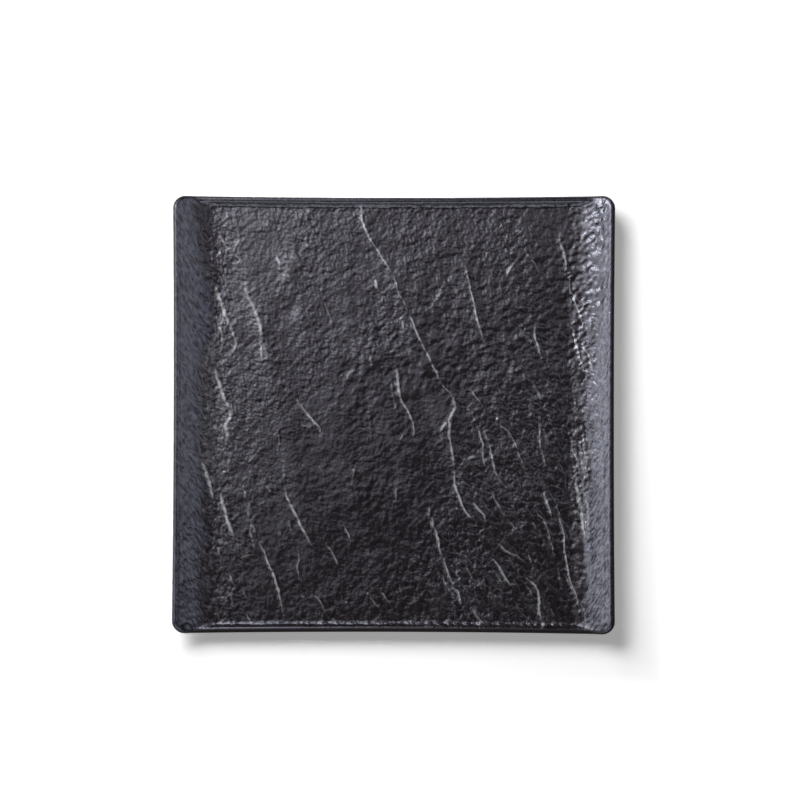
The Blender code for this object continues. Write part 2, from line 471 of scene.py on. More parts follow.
@dataclass(frozen=True)
class PlateForm:
    """The plate's plain form, without its stone relief. Lengths are in metres."""

    width: float
    depth: float
    foot_height: float
    foot_half_width: float
    foot_half_depth: float
    corner_radius: float = 9.5 * MM
    side_bow: float = 0.8 * MM
    end_bow: float = 1.3 * MM
    wall: float = 4.8 * MM
    wing_run: float = 36 * MM
    wing_radius: float = 56 * MM
    wing_slope: float = math.radians(40)
    end_run: float = 8.5 * MM
    end_fillet: float = 4 * MM
    end_slope: float = math.radians(50)
    rim_merge: float = 6
    foot_corner_radius: float = 16 * MM

    @classmethod
    def from_frame(cls, foot_width: float = 5 * MM, gap: float = 0.3 * MM) -> "PlateForm":
        """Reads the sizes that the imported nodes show.

        Args:
            foot_width: Width of the foot ring.
            gap: Gap between the ring and the coat inside it.

        Returns:
            The form.
        """
        low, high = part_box("outer_glaze")
        base_low, base_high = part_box("base_glaze")
        form = cls(high[0] - low[0], high[1] - low[1], base_low[2], 0, 0)
        across, along = form.unbowed_half(base_high[0], base_high[1])
        rim = foot_width + gap
        return cls(form.width, form.depth, form.foot_height, across + rim, along + rim)

    @property
    def half_width(self) -> float:
        """Half the plate's width."""
        return self.width / 2

    @property
    def half_depth(self) -> float:
        """Half the plate's depth."""
        return self.depth / 2

    @property
    def floor_half(self) -> float:
        """Half the width of the flat floor."""
        return self.half_width - self.wing_run

    @property
    def lip_radius(self) -> float:
        """Radius of the rolled lip."""
        return self.wall / 2

    @property
    def floor_top(self) -> float:
        """Height of the floor above the table."""
        return self.foot_height + self.wall

    def unbowed_half(self, across: float, along: float) -> tuple[float, float]:
        """Undoes the bow at the ends of a centred rectangle's straight sides.

        Args:
            across: The rectangle's bowed half width.
            along: Its bowed half depth.

        Returns:
            Half width and half depth before the sides were drawn in.
        """
        straight = (self.half_width - self.corner_radius, self.half_depth - self.corner_radius)
        reach = (across - self.foot_corner_radius, along - self.foot_corner_radius)
        side = self.side_bow * (1 - (reach[1] / straight[1]) ** 2) / self.half_width
        end = self.end_bow * (1 - (reach[0] / straight[0]) ** 2) / self.half_depth
        return across / (1 - side), along / (1 - end)

    def curl(self, run: np.ndarray, radius: float, slope: float) -> np.ndarray:
        """Height gained over a level run: an arc up to the slope, then straight on.

        Args:
            run: Level distances from where the curve starts.
            radius: The arc's radius.
            slope: The steepest angle.

        Returns:
            The heights.
        """
        turn = radius * math.sin(slope)
        bent = np.clip(run, 0, turn)
        arc = radius - np.sqrt(radius * radius - bent * bent)
        return arc + np.maximum(run - turn, 0) * math.tan(slope)

    def height(self, x: np.ndarray, y: np.ndarray, deep: float) -> np.ndarray:
        """Height of the surface that lies this deep below the upper face.

        Args:
            x: Places across the plate.
            y: Places along it.
            deep: Depth below the upper face.

        Returns:
            The heights above the table.
        """
        into_wing = self.wing_run - self.half_width + np.abs(x)
        into_end = self.end_run - self.half_depth + np.abs(y)
        wing = self.curl(into_wing, self.wing_radius + deep, self.wing_slope)
        end = self.curl(into_end, self.end_fillet + deep, self.end_slope)
        merged = (wing**self.rim_merge + end**self.rim_merge) ** (1 / self.rim_merge)
        return self.floor_top - deep + merged

    def bowed(self, points: np.ndarray) -> np.ndarray:
        """Draws the sides in between the corners.

        Args:
            points: Points of the plain form, one to a row.

        Returns:
            The points of the finished form.
        """
        x, y = points[:, 0], points[:, 1]
        side = 1 - (y / (self.half_depth - self.corner_radius)) ** 2
        end = 1 - (x / (self.half_width - self.corner_radius)) ** 2
        drawn = points.copy()
        drawn[:, 0] *= 1 - self.side_bow * np.maximum(side, 0) / self.half_width
        drawn[:, 1] *= 1 - self.end_bow * np.maximum(end, 0) / self.half_depth
        return drawn


@dataclass(frozen=True)
class Outline:
    """Points round the plate's edge, each as a spine point and its direction outwards."""

    form: PlateForm
    spine: np.ndarray
    outward: np.ndarray

    @classmethod
    def around(cls, form: PlateForm, points: np.ndarray) -> "Outline":
        """Hangs points of the lip's inner line on the outline.

        Args:
            form: The plate's form.
            points: The points, one to a row.

        Returns:
            The outline that they lie on.
        """
        limit = np.array([form.half_width, form.half_depth]) - form.corner_radius
        spine = np.clip(points[:, :2], -limit, limit)
        outward = points[:, :2] - spine
        return cls(form, spine, outward / np.linalg.norm(outward, axis=1, keepdims=True))

    def inset(self, distance: float) -> np.ndarray:
        """Plan of the outline, moved in by a distance."""
        return self.spine + self.outward * (self.form.corner_radius - distance)

    def rectangle(self, half_width: float, half_depth: float, radius: float) -> np.ndarray:
        """Plan of another rounded rectangle, with a point for each of the outline's.

        Args:
            half_width: Its half width.
            half_depth: Its half depth.
            radius: Its corner radius.

        Returns:
            The points.
        """
        form = self.form
        scale = np.array(
            [
                (half_width - radius) / (form.half_width - form.corner_radius),
                (half_depth - radius) / (form.half_depth - form.corner_radius),
            ]
        )
        return self.spine * scale + self.outward * radius

    def lip(self, turn: float, deep: float) -> np.ndarray:
        """A ring on the rolled lip.

        Args:
            turn: 1 where it leaves the upper face, 0 where it is widest, and -1 where it meets the
                underside.
            deep: Depth below the lip's surface.

        Returns:
            The ring's points.
        """
        form = self.form
        probe = 0.4 * MM
        centre = self.inset(form.lip_radius)
        ahead, behind = self.inset(form.lip_radius - probe), self.inset(form.lip_radius + probe)
        climb = form.height(*ahead.T, form.lip_radius) - form.height(*behind.T, form.lip_radius)
        angle = math.pi / 2 * turn + np.arctan2(climb, 2 * probe) * abs(turn)
        reach = form.lip_radius - deep
        plan = centre + self.outward * (reach * np.cos(angle))[:, None]
        middle = form.height(*centre.T, form.lip_radius)
        return np.column_stack([plan, middle + reach * np.sin(angle)])

    def underside(self, share: float, deep: float) -> np.ndarray:
        """A ring on the underside.

        Args:
            share: 0 at the lip, 1 at the floor's edge.
            deep: Depth below the underside's surface.

        Returns:
            The ring's points.
        """
        form = self.form
        start = self.lip(-1, deep)[:, :2]
        floor = self.rectangle(form.floor_half, form.half_depth - form.end_run, form.corner_radius)
        plan = start + (floor - start) * share
        return np.column_stack([plan, form.height(*plan.T, form.wall - deep)])

    def foot(self, inset: float, height: float) -> np.ndarray:
        """A level ring beside the foot ring.

        Args:
            inset: How far it lies inside the foot ring's outer wall.
            height: Its height above the table.

        Returns:
            The ring's points.
        """
        form = self.form
        halves = (form.foot_half_width - inset, form.foot_half_depth - inset)
        plan = self.rectangle(*halves, form.foot_corner_radius - inset)
        return np.column_stack([plan, np.full(len(plan), height)])


class Hand(Enum):
    """Which way a stroke of the stone runs, seen from above."""

    LEVEL = 0.0
    RISING = math.radians(45)
    FALLING = math.radians(-70)
    STEEP = math.radians(-80)


@dataclass(frozen=True)
class Vein:
    """One pale vein of the stone, as points in millimetres on the plate."""

    points: tuple[tuple[float, float], ...]
    boldness: float = 0.7
    width: float = 0.9

    def trace(self, x: np.ndarray, y: np.ndarray) -> tuple[np.ndarray, np.ndarray, np.ndarray]:
        """Measures points against the vein.

        Args:
            x: Places across the plate, in millimetres.
            y: Places along it.

        Returns:
            Distance from the vein, positive on the left of its run, how far along it the point
            lies, from 0 to 1, and the distance without its sign.
        """
        line = np.array(self.points)
        steps = np.diff(line, axis=0)
        lengths = np.linalg.norm(steps, axis=1)
        starts = np.concatenate([[0], np.cumsum(lengths)])
        best = np.full(len(x), np.inf)
        side = np.zeros(len(x))
        along = np.zeros(len(x))
        for start, step, length, done in zip(line[:-1], steps, lengths, starts):
            dx, dy = x - start[0], y - start[1]
            share = np.clip((dx * step[0] + dy * step[1]) / length**2, 0, 1)
            gap = np.hypot(dx - share * step[0], dy - share * step[1])
            nearer = gap < best
            best = np.where(nearer, gap, best)
            side = np.where(nearer, np.sign(dy * step[0] - dx * step[1]), side)
            along = np.where(nearer, (done + share * length) / starts[-1], along)
        return best * side, along, best


VEINS = (
    Vein(((-25, 160), (-24, 146), (-22, 139), (-19, 133), (-16, 128)), 1.0, 1.1),
    Vein(((-20, 135), (-15, 126), (-10, 119), (-5, 110), (-1, 103)), 0.7, 0.9),
    Vein(((-129, 134), (-128, 130), (-125, 125), (-123, 121)), 0.5, 1.3),
    Vein(((-112, 131), (-117, 125), (-120, 120)), 0.5, 1.5),
    Vein(((-118, 119), (-114, 115), (-117, 111)), 0.5, 1.3),
    Vein(((-97, 136), (-95, 141), (-91, 142)), 0.5, 1.8),
    Vein(((-88, 119), (-86, 115), (-84, 110)), 0.7, 1.1),
    Vein(((-66, 127), (-72, 117), (-79, 111), (-82, 97), (-86, 90)), 0.42, 2.4),
    Vein(((-111, 101), (-110, 93), (-107, 85), (-104, 79), (-100, 69),
          (-99, 60), (-98, 52), (-94, 46), (-93, 40)), 0.66, 2.0),
    Vein(((-98, 55), (-98, 47), (-97, 40)), 0.6, 1.4),
    Vein(((-133, 96), (-128, 83), (-125, 74), (-122, 66)), 0.8, 1.9),
    Vein(((-123, 72), (-119, 60), (-117, 53), (-119, 47), (-124, 42)), 0.65, 1.4),
    Vein(((-126, 73), (-128, 63), (-127, 52)), 0.6, 1.6),
    Vein(((-51, 87), (-50, 80), (-48, 75), (-47, 67)), 0.4),
    Vein(((-14, 101), (-13, 93)), 0.8, 1.6),
    Vein(((-9, 87), (-8, 81)), 0.45),
    Vein(((-132, 35), (-131, 27), (-128, 17), (-125, 10), (-121, 4)), 0.85, 1.8),
    Vein(((-121, 5), (-122, -3), (-125, -9), (-123, -15), (-126, -24)), 0.8, 2.1),
    Vein(((-127, -6), (-128, -19)), 0.4, 1.1),
    Vein(((-124, -24), (-122, -30), (-122, -38), (-125, -43)), 0.35, 1.3),
    Vein(((-72, 12), (-70, 8), (-67, 5), (-64, 0), (-59, -6), (-54, -10), (-54, -15)), 0.95),
    Vein(((-59, -6), (-62, -9), (-68, -8)), 0.5, 1.2),
    Vein(((-85, -13), (-86, -30)), 0.45, 1.0),
    Vein(((-81, -39), (-81, -48)), 0.5, 1.0),
    Vein(((-99, -24), (-104, -31), (-108, -37)), 0.5, 1.3),
    Vein(((-19, 3), (-18, -8), (-17, -19)), 0.28, 1.6),
    Vein(((-18, 46), (-17, 37)), 0.5, 1.1),
    Vein(((-32, 32), (-35, 25)), 0.5),
    Vein(((-57, -35), (-50, -48)), 0.3, 0.8),
    Vein(((-143, -33), (-139, -43), (-136, -53), (-133, -64)), 0.95, 1.7),
    Vein(((-128, -56), (-127, -63), (-125, -71), (-123, -79), (-120, -86), (-118, -91)), 0.95, 1.6),
    Vein(((-130, -97), (-128, -105)), 0.5, 1.0),
    Vein(((-122, -115), (-120, -122), (-117, -128)), 0.55, 1.2),
    Vein(((-118, -127), (-120, -135), (-119, -142)), 0.45, 1.1),
    Vein(((-115, -91), (-115, -102)), 0.5, 0.9),
    Vein(((-114, -107), (-108, -104), (-103, -103)), 0.55, 1.0),
    Vein(((-100, -94), (-96, -101), (-92, -111), (-88, -120),
          (-85, -130), (-83, -140), (-81, -149)), 1.0, 1.0),
    Vein(((-104, -79), (-102, -90)), 0.55, 1.6),
    Vein(((-107, -64), (-107, -77)), 0.45, 1.6),
    Vein(((-102, -68), (-95, -64), (-90, -61)), 0.55, 1.3),
    Vein(((-95, -52), (-92, -55), (-90, -59)), 0.5, 1.0),
    Vein(((-77, -79), (-75, -86), (-73, -93)), 0.45, 1.0),
    Vein(((-128, -138), (-121, -133), (-116, -137)), 0.5, 1.2),
    Vein(((-113, -52), (-110, -58), (-109, -64)), 0.45, 1.0),
    Vein(((-80, -53), (-79, -61), (-75, -69), (-72, -75),
          (-69, -82), (-64, -90), (-60, -98)), 0.85, 1.1),
    Vein(((-71, -96), (-69, -108), (-71, -113), (-70, -120), (-65, -127)), 0.5),
    Vein(((-52, -95), (-47, -100), (-44, -106), (-41, -113)), 0.6, 1.1),
    Vein(((-37, -81), (-34, -88), (-31, -95)), 0.6),
    Vein(((-19, -100), (-19, -109)), 0.3, 1.7),
    Vein(((-58, -134), (-54, -140), (-50, -145)), 0.55),
    Vein(((-29, -39), (-30, -46), (-31, -53)), 0.5, 1.0),
    Vein(((-19, -133), (-14, -139), (-8, -145)), 0.45),
    Vein(((-10, -130), (-4, -139)), 0.45),
    Vein(((-111, -129), (-108, -137)), 0.5),
    Vein(((-109, -147), (-103, -156)), 0.5),
    Vein(((-2, 105), (2, 97), (4, 91), (7, 84), (11, 75)), 0.5, 1.0),
    Vein(((12, 74), (16, 63), (19, 57), (22, 52)), 0.85, 1.1),
    Vein(((20, 56), (25, 44), (28, 38), (33, 26)), 0.6, 1.0),
    Vein(((31, 34), (33, 26)), 0.7, 1.3),
    Vein(((33, 26), (38, 20), (42, 16), (44, 11)), 0.55, 0.8),
    Vein(((44, 15), (45, 6), (41, -3), (41, -12), (41, -18)), 1.0, 1.5),
    Vein(((41, -14), (42, -22), (44, -30), (44, -38)), 0.9, 1.1),
    Vein(((43, 2), (40, -4), (37, -9), (34, -15)), 0.8, 1.3),
    Vein(((6, 71), (7, 62)), 0.7, 1.3),
    Vein(((53, 111), (54, 103), (57, 90), (59, 82), (61, 74), (63, 65), (67, 53)), 0.9),
    Vein(((36, 96), (33, 89), (30, 85), (27, 80), (19, 76)), 0.4, 1.3),
    Vein(((68, 121), (67, 114)), 0.5, 1.0),
    Vein(((89, 113), (86, 108), (83, 103)), 0.9, 1.2),
    Vein(((76, 136), (80, 142)), 0.5),
    Vein(((83, 130), (88, 132)), 0.5),
    Vein(((83, 117), (88, 122)), 0.45),
    Vein(((92, 134), (95, 138)), 0.6),
    Vein(((94, 127), (98, 119), (104, 112), (108, 105), (110, 100)), 0.4, 0.8),
    Vein(((121, 133), (123, 127), (125, 121), (126, 116), (127, 110), (125, 103)), 0.85, 1.3),
    Vein(((130, 106), (130, 91), (134, 83), (137, 76), (139, 66)), 0.75, 1.1),
    Vein(((137, 76), (141, 81), (145, 84)), 0.5, 1.1),
    Vein(((105, 67), (104, 61), (105, 55), (107, 50), (109, 42)), 0.85, 1.0),
    Vein(((96, 64), (98, 59), (103, 51)), 0.4, 2.0),
    Vein(((132, 68), (134, 58), (136, 47), (139, 38), (142, 27)), 0.75, 1.2),
    Vein(((137, 62), (141, 50), (144, 44), (147, 33), (149, 22)), 0.6, 1.3),
    Vein(((2, 36), (3, 25), (4, 17), (5, 10)), 0.85, 1.4),
    Vein(((3, 21), (5, 13), (9, 5), (12, 0), (14, -5), (15, -12), (15, -17)), 0.85, 1.0),
    Vein(((-1, 25), (-1, 13), (2, 4), (3, -3)), 0.35, 1.4),
    Vein(((8, -14), (3, -20)), 0.45, 1.2),
    Vein(((54, 19), (58, 18), (61, 13), (65, 7)), 0.7),
    Vein(((55, 5), (57, 2), (60, -3)), 0.5, 1.3),
    Vein(((62, -8), (64, -15), (66, -22), (66, -28), (67, -34), (69, -41)), 0.8, 1.0),
    Vein(((66, -8), (68, -15), (71, -23), (73, -32), (75, -42), (78, -47), (83, -53)), 0.7, 1.0),
    Vein(((53, -34), (57, -32), (61, -31)), 1.0, 1.3),
    Vein(((76, -2), (80, -9), (85, -13), (88, -18),
          (91, -25), (93, -31), (96, -39), (99, -45)), 0.6, 1.0),
    Vein(((93, -29), (97, -26), (100, -22)), 0.5),
    Vein(((109, 1), (108, -8), (108, -18), (110, -26), (112, -36), (113, -40)), 0.7),
    Vein(((110, -7), (113, -15), (115, -25)), 0.4, 0.8),
    Vein(((112, 6), (115, -1), (118, -10)), 0.35, 0.8),
    Vein(((103, 24), (107, 17), (110, 10)), 0.5, 1.8),
    Vein(((101, 14), (103, 3)), 0.35, 1.0),
    Vein(((130, 28), (132, 31), (138, 38)), 0.5),
    Vein(((-5, 45), (1, 50), (7, 54)), 0.35, 1.6),
    Vein(((83, 26), (89, 33), (97, 39)), 0.4, 1.3),
    Vein(((-103, -100), (-106, -88), (-105, -78), (-98, -72)), 0.5, 1.5),
    Vein(((-118, -60), (-113, -50), (-107, -44)), 0.5, 1.4),
    Vein(((140, -9), (140, -21), (142, -35), (144, -48), (145, -58)), 0.55, 1.3),
    Vein(((84, 28), (88, 36)), 0.5),
    Vein(((93, 36), (97, 43)), 0.5),
    Vein(((75, 26), (78, 19), (79, 11)), 0.4),
    Vein(((131, -14), (132, -25), (135, -31), (135, -38), (132, -43)), 0.55),
    Vein(((137, -24), (138, -33), (141, -42), (141, -52)), 0.55),
    Vein(((45, -39), (44, -50), (47, -58), (50, -66), (53, -72), (59, -77)), 1.0, 1.1),
    Vein(((59, -64), (64, -71), (67, -74), (68, -79)), 0.95, 1.1),
    Vein(((26, -69), (26, -75)), 0.85, 1.2),
    Vein(((29, -78), (29, -84)), 0.95, 1.2),
    Vein(((30, -83), (33, -92), (34, -98), (35, -104)), 0.95, 1.0),
    Vein(((36, -104), (37, -108), (39, -114), (42, -121), (44, -126)), 0.9, 1.0),
    Vein(((36, -116), (38, -124), (41, -130), (46, -135)), 0.55, 0.8),
    Vein(((42, -128), (47, -130), (49, -136), (49, -141)), 0.95),
    Vein(((5, -51), (2, -57), (2, -62), (1, -66)), 0.5, 1.2),
    Vein(((32, -59), (38, -54)), 0.5, 1.0),
    Vein(((11, -108), (18, -105)), 0.45, 1.2),
    Vein(((73, -56), (75, -62), (79, -69), (82, -75)), 0.55, 0.8),
    Vein(((84, -77), (88, -82), (93, -87)), 0.5, 0.8),
    Vein(((78, -95), (82, -100), (87, -103), (91, -104), (96, -109)), 0.65, 0.9),
    Vein(((99, -103), (102, -110)), 0.7, 1.0),
    Vein(((73, -106), (78, -113), (82, -119), (86, -125), (91, -126)), 0.9, 1.0),
    Vein(((74, -115), (78, -120), (82, -128)), 0.4, 0.8),
    Vein(((98, -121), (104, -126), (107, -131), (108, -138),
          (107, -144), (109, -151), (111, -156)), 1.0, 1.1),
    Vein(((97, -125), (100, -129), (103, -136)), 0.4),
    Vein(((53, -112), (56, -118), (57, -123)), 0.4, 0.8),
    Vein(((44, -112), (47, -118), (50, -127)), 0.35, 0.8),
    Vein(((111, -56), (113, -63), (115, -69), (116, -76)), 0.85, 1.1),
    Vein(((105, -69), (107, -74), (110, -77), (113, -82),
          (115, -89), (117, -98), (118, -108)), 0.55, 1.1),
    Vein(((120, -65), (122, -74), (124, -82), (126, -90),
          (127, -106), (129, -115), (131, -123), (138, -140)), 0.95, 0.8),
    Vein(((126, -115), (129, -123), (132, -129), (136, -137), (137, -147)), 0.65, 0.7),
    Vein(((120, -105), (122, -118), (125, -129)), 0.35, 0.8),
    Vein(((103, -79), (106, -86)), 0.4),
    Vein(((135, -44), (136, -60), (138, -68), (140, -82), (143, -98)), 0.95, 1.8),
    Vein(((140, -50), (143, -66), (144, -80), (146, -94)), 0.85, 1.5),
    Vein(((139, -138), (141, -148), (143, -156)), 0.55, 0.8),
    Vein(((58, -143), (62, -150), (67, -155)), 0.6),
    Vein(((88, -67), (91, -60), (93, -66)), 0.35, 0.8),
)


@dataclass(frozen=True)
class Patch:
    """A round area in millimetres on the plate, with an amount that fades out from its middle."""

    x: float
    y: float
    radius: float
    amount: float

    def share(self, x: np.ndarray, y: np.ndarray) -> np.ndarray:
        """How much of the amount there is at each point."""
        gap = np.hypot(x - self.x, y - self.y) / self.radius
        return self.amount * np.exp(-gap * gap)


def covered(patches: tuple[Patch, ...], x: np.ndarray, y: np.ndarray) -> np.ndarray:
    """Sums patches up.

    Args:
        patches: The patches.
        x: Places across the plate, in millimetres.
        y: Places along it.

    Returns:
        Their amounts together, at each point.
    """
    return sum((patch.share(x, y) for patch in patches), np.zeros(len(x)))


# Pale spots where the glaze thins, together with painted light: a pale ribbon along the right welt
# that is partly a painted highlight, and two painted glints on the bottom rim.
THIN_SPOTS_AND_PAINTED_HIGHLIGHTS = (
    Patch(-125, 107, 1.8, 0.5), Patch(-96, 140, 3.5, 0.5), Patch(-65, 127, 2.2, 0.6),
    Patch(-64, 120, 2.2, 0.5), Patch(-75, 114, 7, 0.36), Patch(-79, 101, 7, 0.32),
    Patch(-62, 103, 1.8, 0.6), Patch(-118, 126, 5, 0.4), Patch(-126, 58, 7, 0.32),
    Patch(-116, 10, 4, 0.35), Patch(-121, -8, 6, 0.4), Patch(-82, -34, 1.7, 0.6),
    Patch(-39, 29, 1.7, 0.6), Patch(-126, -134, 2.2, 0.45), Patch(-84, -88, 1.8, 0.45),
    Patch(-77, -82, 1.8, 0.45), Patch(-75, -87, 1.6, 0.45), Patch(-77, -115, 2, 0.4),
    Patch(-15, -116, 3, 0.3), Patch(-67, -135, 1.6, 0.55), Patch(-40, -139, 1.6, 0.5),
    Patch(-35, -140, 1.6, 0.5), Patch(-31, -126, 2.5, 0.4), Patch(46, 92, 1.7, 0.6),
    Patch(48, 84, 1.7, 0.6), Patch(77, 127, 1.6, 0.5), Patch(85, 144, 1.8, 0.45),
    Patch(26, 135, 1.9, 0.5), Patch(115, 148, 1.6, 0.45), Patch(123, 66, 1.6, 0.45),
    Patch(88, 62, 1.7, 0.5), Patch(98, 17, 1.5, 0.65), Patch(103, 14, 1.4, 0.5),
    Patch(116, 18, 1.4, 0.5), Patch(92, -3, 1.5, 0.55), Patch(67, 32, 1.6, 0.55),
    Patch(91, -89, 1.6, 0.55), Patch(110, -50, 1.6, 0.5), Patch(63, -124, 2.6, 0.32),
    Patch(134, -92, 2.2, 0.5), Patch(26, -125, 2.1, 0.42), Patch(113, 26, 1.7, 0.5),
    # The spots from (137, -58) to (142, -102) form a pale ribbon along the right welt. It is partly
    # a painted highlight on the welt.
    Patch(4, 16, 2.5, 0.5), Patch(42, -2, 2.5, 0.5), Patch(137, -58, 3, 0.35),
    Patch(139, -72, 4, 0.42), Patch(140, -82, 4, 0.45), Patch(141, -92, 4, 0.42),
    # The last two spots, at (110, -155) and (144, -157) on the bottom rim, are painted glints.
    Patch(142, -102, 3, 0.3), Patch(110, -155, 1.3, 2.2), Patch(144, -157, 3, 2.2),
)
CREASED_AREAS = (Patch(-102, -95, 42, 2.0), Patch(-60, -135, 25, 1.2), Patch(-110, -20, 30, 1.4))
LUMPY_AREAS = (Patch(5, 70, 55, 0.9), Patch(70, 70, 45, 0.45), Patch(90, 15, 40, 0.4))
CALM_AREAS = (
    Patch(-10, 25, 40, 0.22), Patch(-20, -95, 55, 0.46), Patch(-95, 110, 50, 0.1),
    Patch(-105, 0, 40, -0.22), Patch(85, 110, 45, -0.15), Patch(0, 120, 40, -0.12),
    Patch(95, -105, 40, 0.12), Patch(-95, -95, 40, 0.15),
)
PITS = (Patch(-49, -105, 0.9, 1.0), Patch(-62, -107, 0.7, 1.0))
KNOLLS = (
    Patch(-77, 80, 7, -0.45), Patch(-85, 69, 6, -0.3), Patch(-80, 106, 9, 0.3),
    Patch(-95, 138, 6, 0.3), Patch(-66, 72, 8, 0.25), Patch(-99, 62, 7, 0.3),
    Patch(-122, 62, 8, 0.3), Patch(-121, -3, 9, 0.35), Patch(3, 20, 6, 0.12),
    Patch(41, -1, 6, 0.4), Patch(-60, -6, 6, 0.25), Patch(-74, -71, 6, 0.25),
    Patch(121, 30, 12, 0.35), Patch(121, 8, 12, 0.35), Patch(121, -16, 12, 0.35),
    Patch(121, -38, 12, 0.3),
)


@dataclass(frozen=True)
class Welt:
    """A welt of the stone that rises on the right of its line's run and falls off on the left.

    Lengths are in millimetres.
    """

    line: Vein
    height: float
    rise: float
    fall: float

    def lift(self, x: np.ndarray, y: np.ndarray) -> np.ndarray:
        """How far the welt raises each point.

        Args:
            x: Places across the plate.
            y: Places along it.

        Returns:
            The heights.
        """
        across, along, gap = self.line.trace(x, y)
        side = np.where(across < 0, -gap, gap)
        ends = np.sqrt(np.clip(np.sin(math.pi * along), 0, 1))
        slope = self.height * ends * smooth_step(side, -self.rise, 1)
        return slope * np.exp(-np.maximum(side, 0) / self.fall)


RIGHT_WELT_LINE = Vein(((141, -18), (143, -40), (144, -60), (145, -85), (146, -112), (146, -158)))
LEFT_WELT_LINE = Vein(((-142, 78), (-144, 115), (-147, 160)))
WELTS = (Welt(RIGHT_WELT_LINE, 1.3, 6.5, 10), Welt(LEFT_WELT_LINE, 0.5, 13, 10))

# Places along the plate, each with the width of the wing's smooth band there, in millimetres.
LEFT_BORDER = (
    (-144, 20), (-104, 20), (-85, 22), (-67, 22), (-48, 21), (-30, 17), (-11, 19),
    (25, 17), (47, 20), (62, 29), (88, 26), (110, 21), (138, 16), (157, 12),
)
RIGHT_BORDER = (
    (-136, 20), (-107, 21), (-63, 20), (-30, 16), (11, 15), (25, 14),
    (40, 12), (77, 10), (103, 9), (121, 8), (129, 8), (154, 8),
)


@dataclass(frozen=True)
class Ledge:
    """A cleft across the whole floor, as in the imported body."""

    far: float
    near: float
    boldness: float


LEDGES = (
    Ledge(-0.95, -0.38, 0.8),
    Ledge(-0.74, 0.00, 0.5),
    Ledge(-0.50, 0.40, 0.6),
    Ledge(-0.19, 0.72, 1.0),
    Ledge(0.30, 0.95, 0.7),
)


@dataclass(frozen=True)
class Relief:
    """What the stone face adds to the plain form, for each point asked about."""

    height: np.ndarray
    rugged: np.ndarray
    band: np.ndarray
    vein: np.ndarray
    aside: np.ndarray
    thin: np.ndarray
    crest: np.ndarray
    creased: np.ndarray
    gloss: np.ndarray


def smooth_step(value: np.ndarray, low: float, high: float) -> np.ndarray:
    """Goes softly from 0 at low to 1 at high."""
    share = np.clip((value - low) / (high - low), 0, 1)
    return share * share * (3 - 2 * share)


@dataclass(frozen=True)
class Texture:
    """Noise in cells of one size, laid along strokes of one hand. Lengths are in millimetres."""

    seed: float
    length: float
    width: float
    hand: Hand = Hand.LEVEL

    def cells(self, x: np.ndarray, y: np.ndarray) -> list[tuple[float, float, float]]:
        """Counts places in cells.

        Args:
            x: Places across the plate.
            y: Places along it.

        Returns:
            For each place, cells along and across the strokes, and the seed.
        """
        cosine, sine = math.cos(self.hand.value), math.sin(self.hand.value)
        along = (x * cosine + y * sine) / self.length
        across = (y * cosine - x * sine) / self.width
        return [(a, b, self.seed) for a, b in zip(along.tolist(), across.tolist())]

    def smooth(self, x: np.ndarray, y: np.ndarray) -> np.ndarray:
        """Smooth noise between about -1 and 1."""
        return np.array([noise.noise(cell) for cell in self.cells(x, y)])

    def pebbles(self, x: np.ndarray, y: np.ndarray) -> np.ndarray:
        """Rounded pebbles between narrow furrows.

        Args:
            x: Places across the plate.
            y: Places along it.

        Returns:
            The pebbles' height, from -0.4 to 0.4.
        """
        near = [noise.voronoi(cell)[0] for cell in self.cells(x, y)]
        gaps = np.array([(first, second) for first, second, *_ in near])
        return np.clip(gaps[:, 1] - gaps[:, 0], 0, 0.8) - 0.4


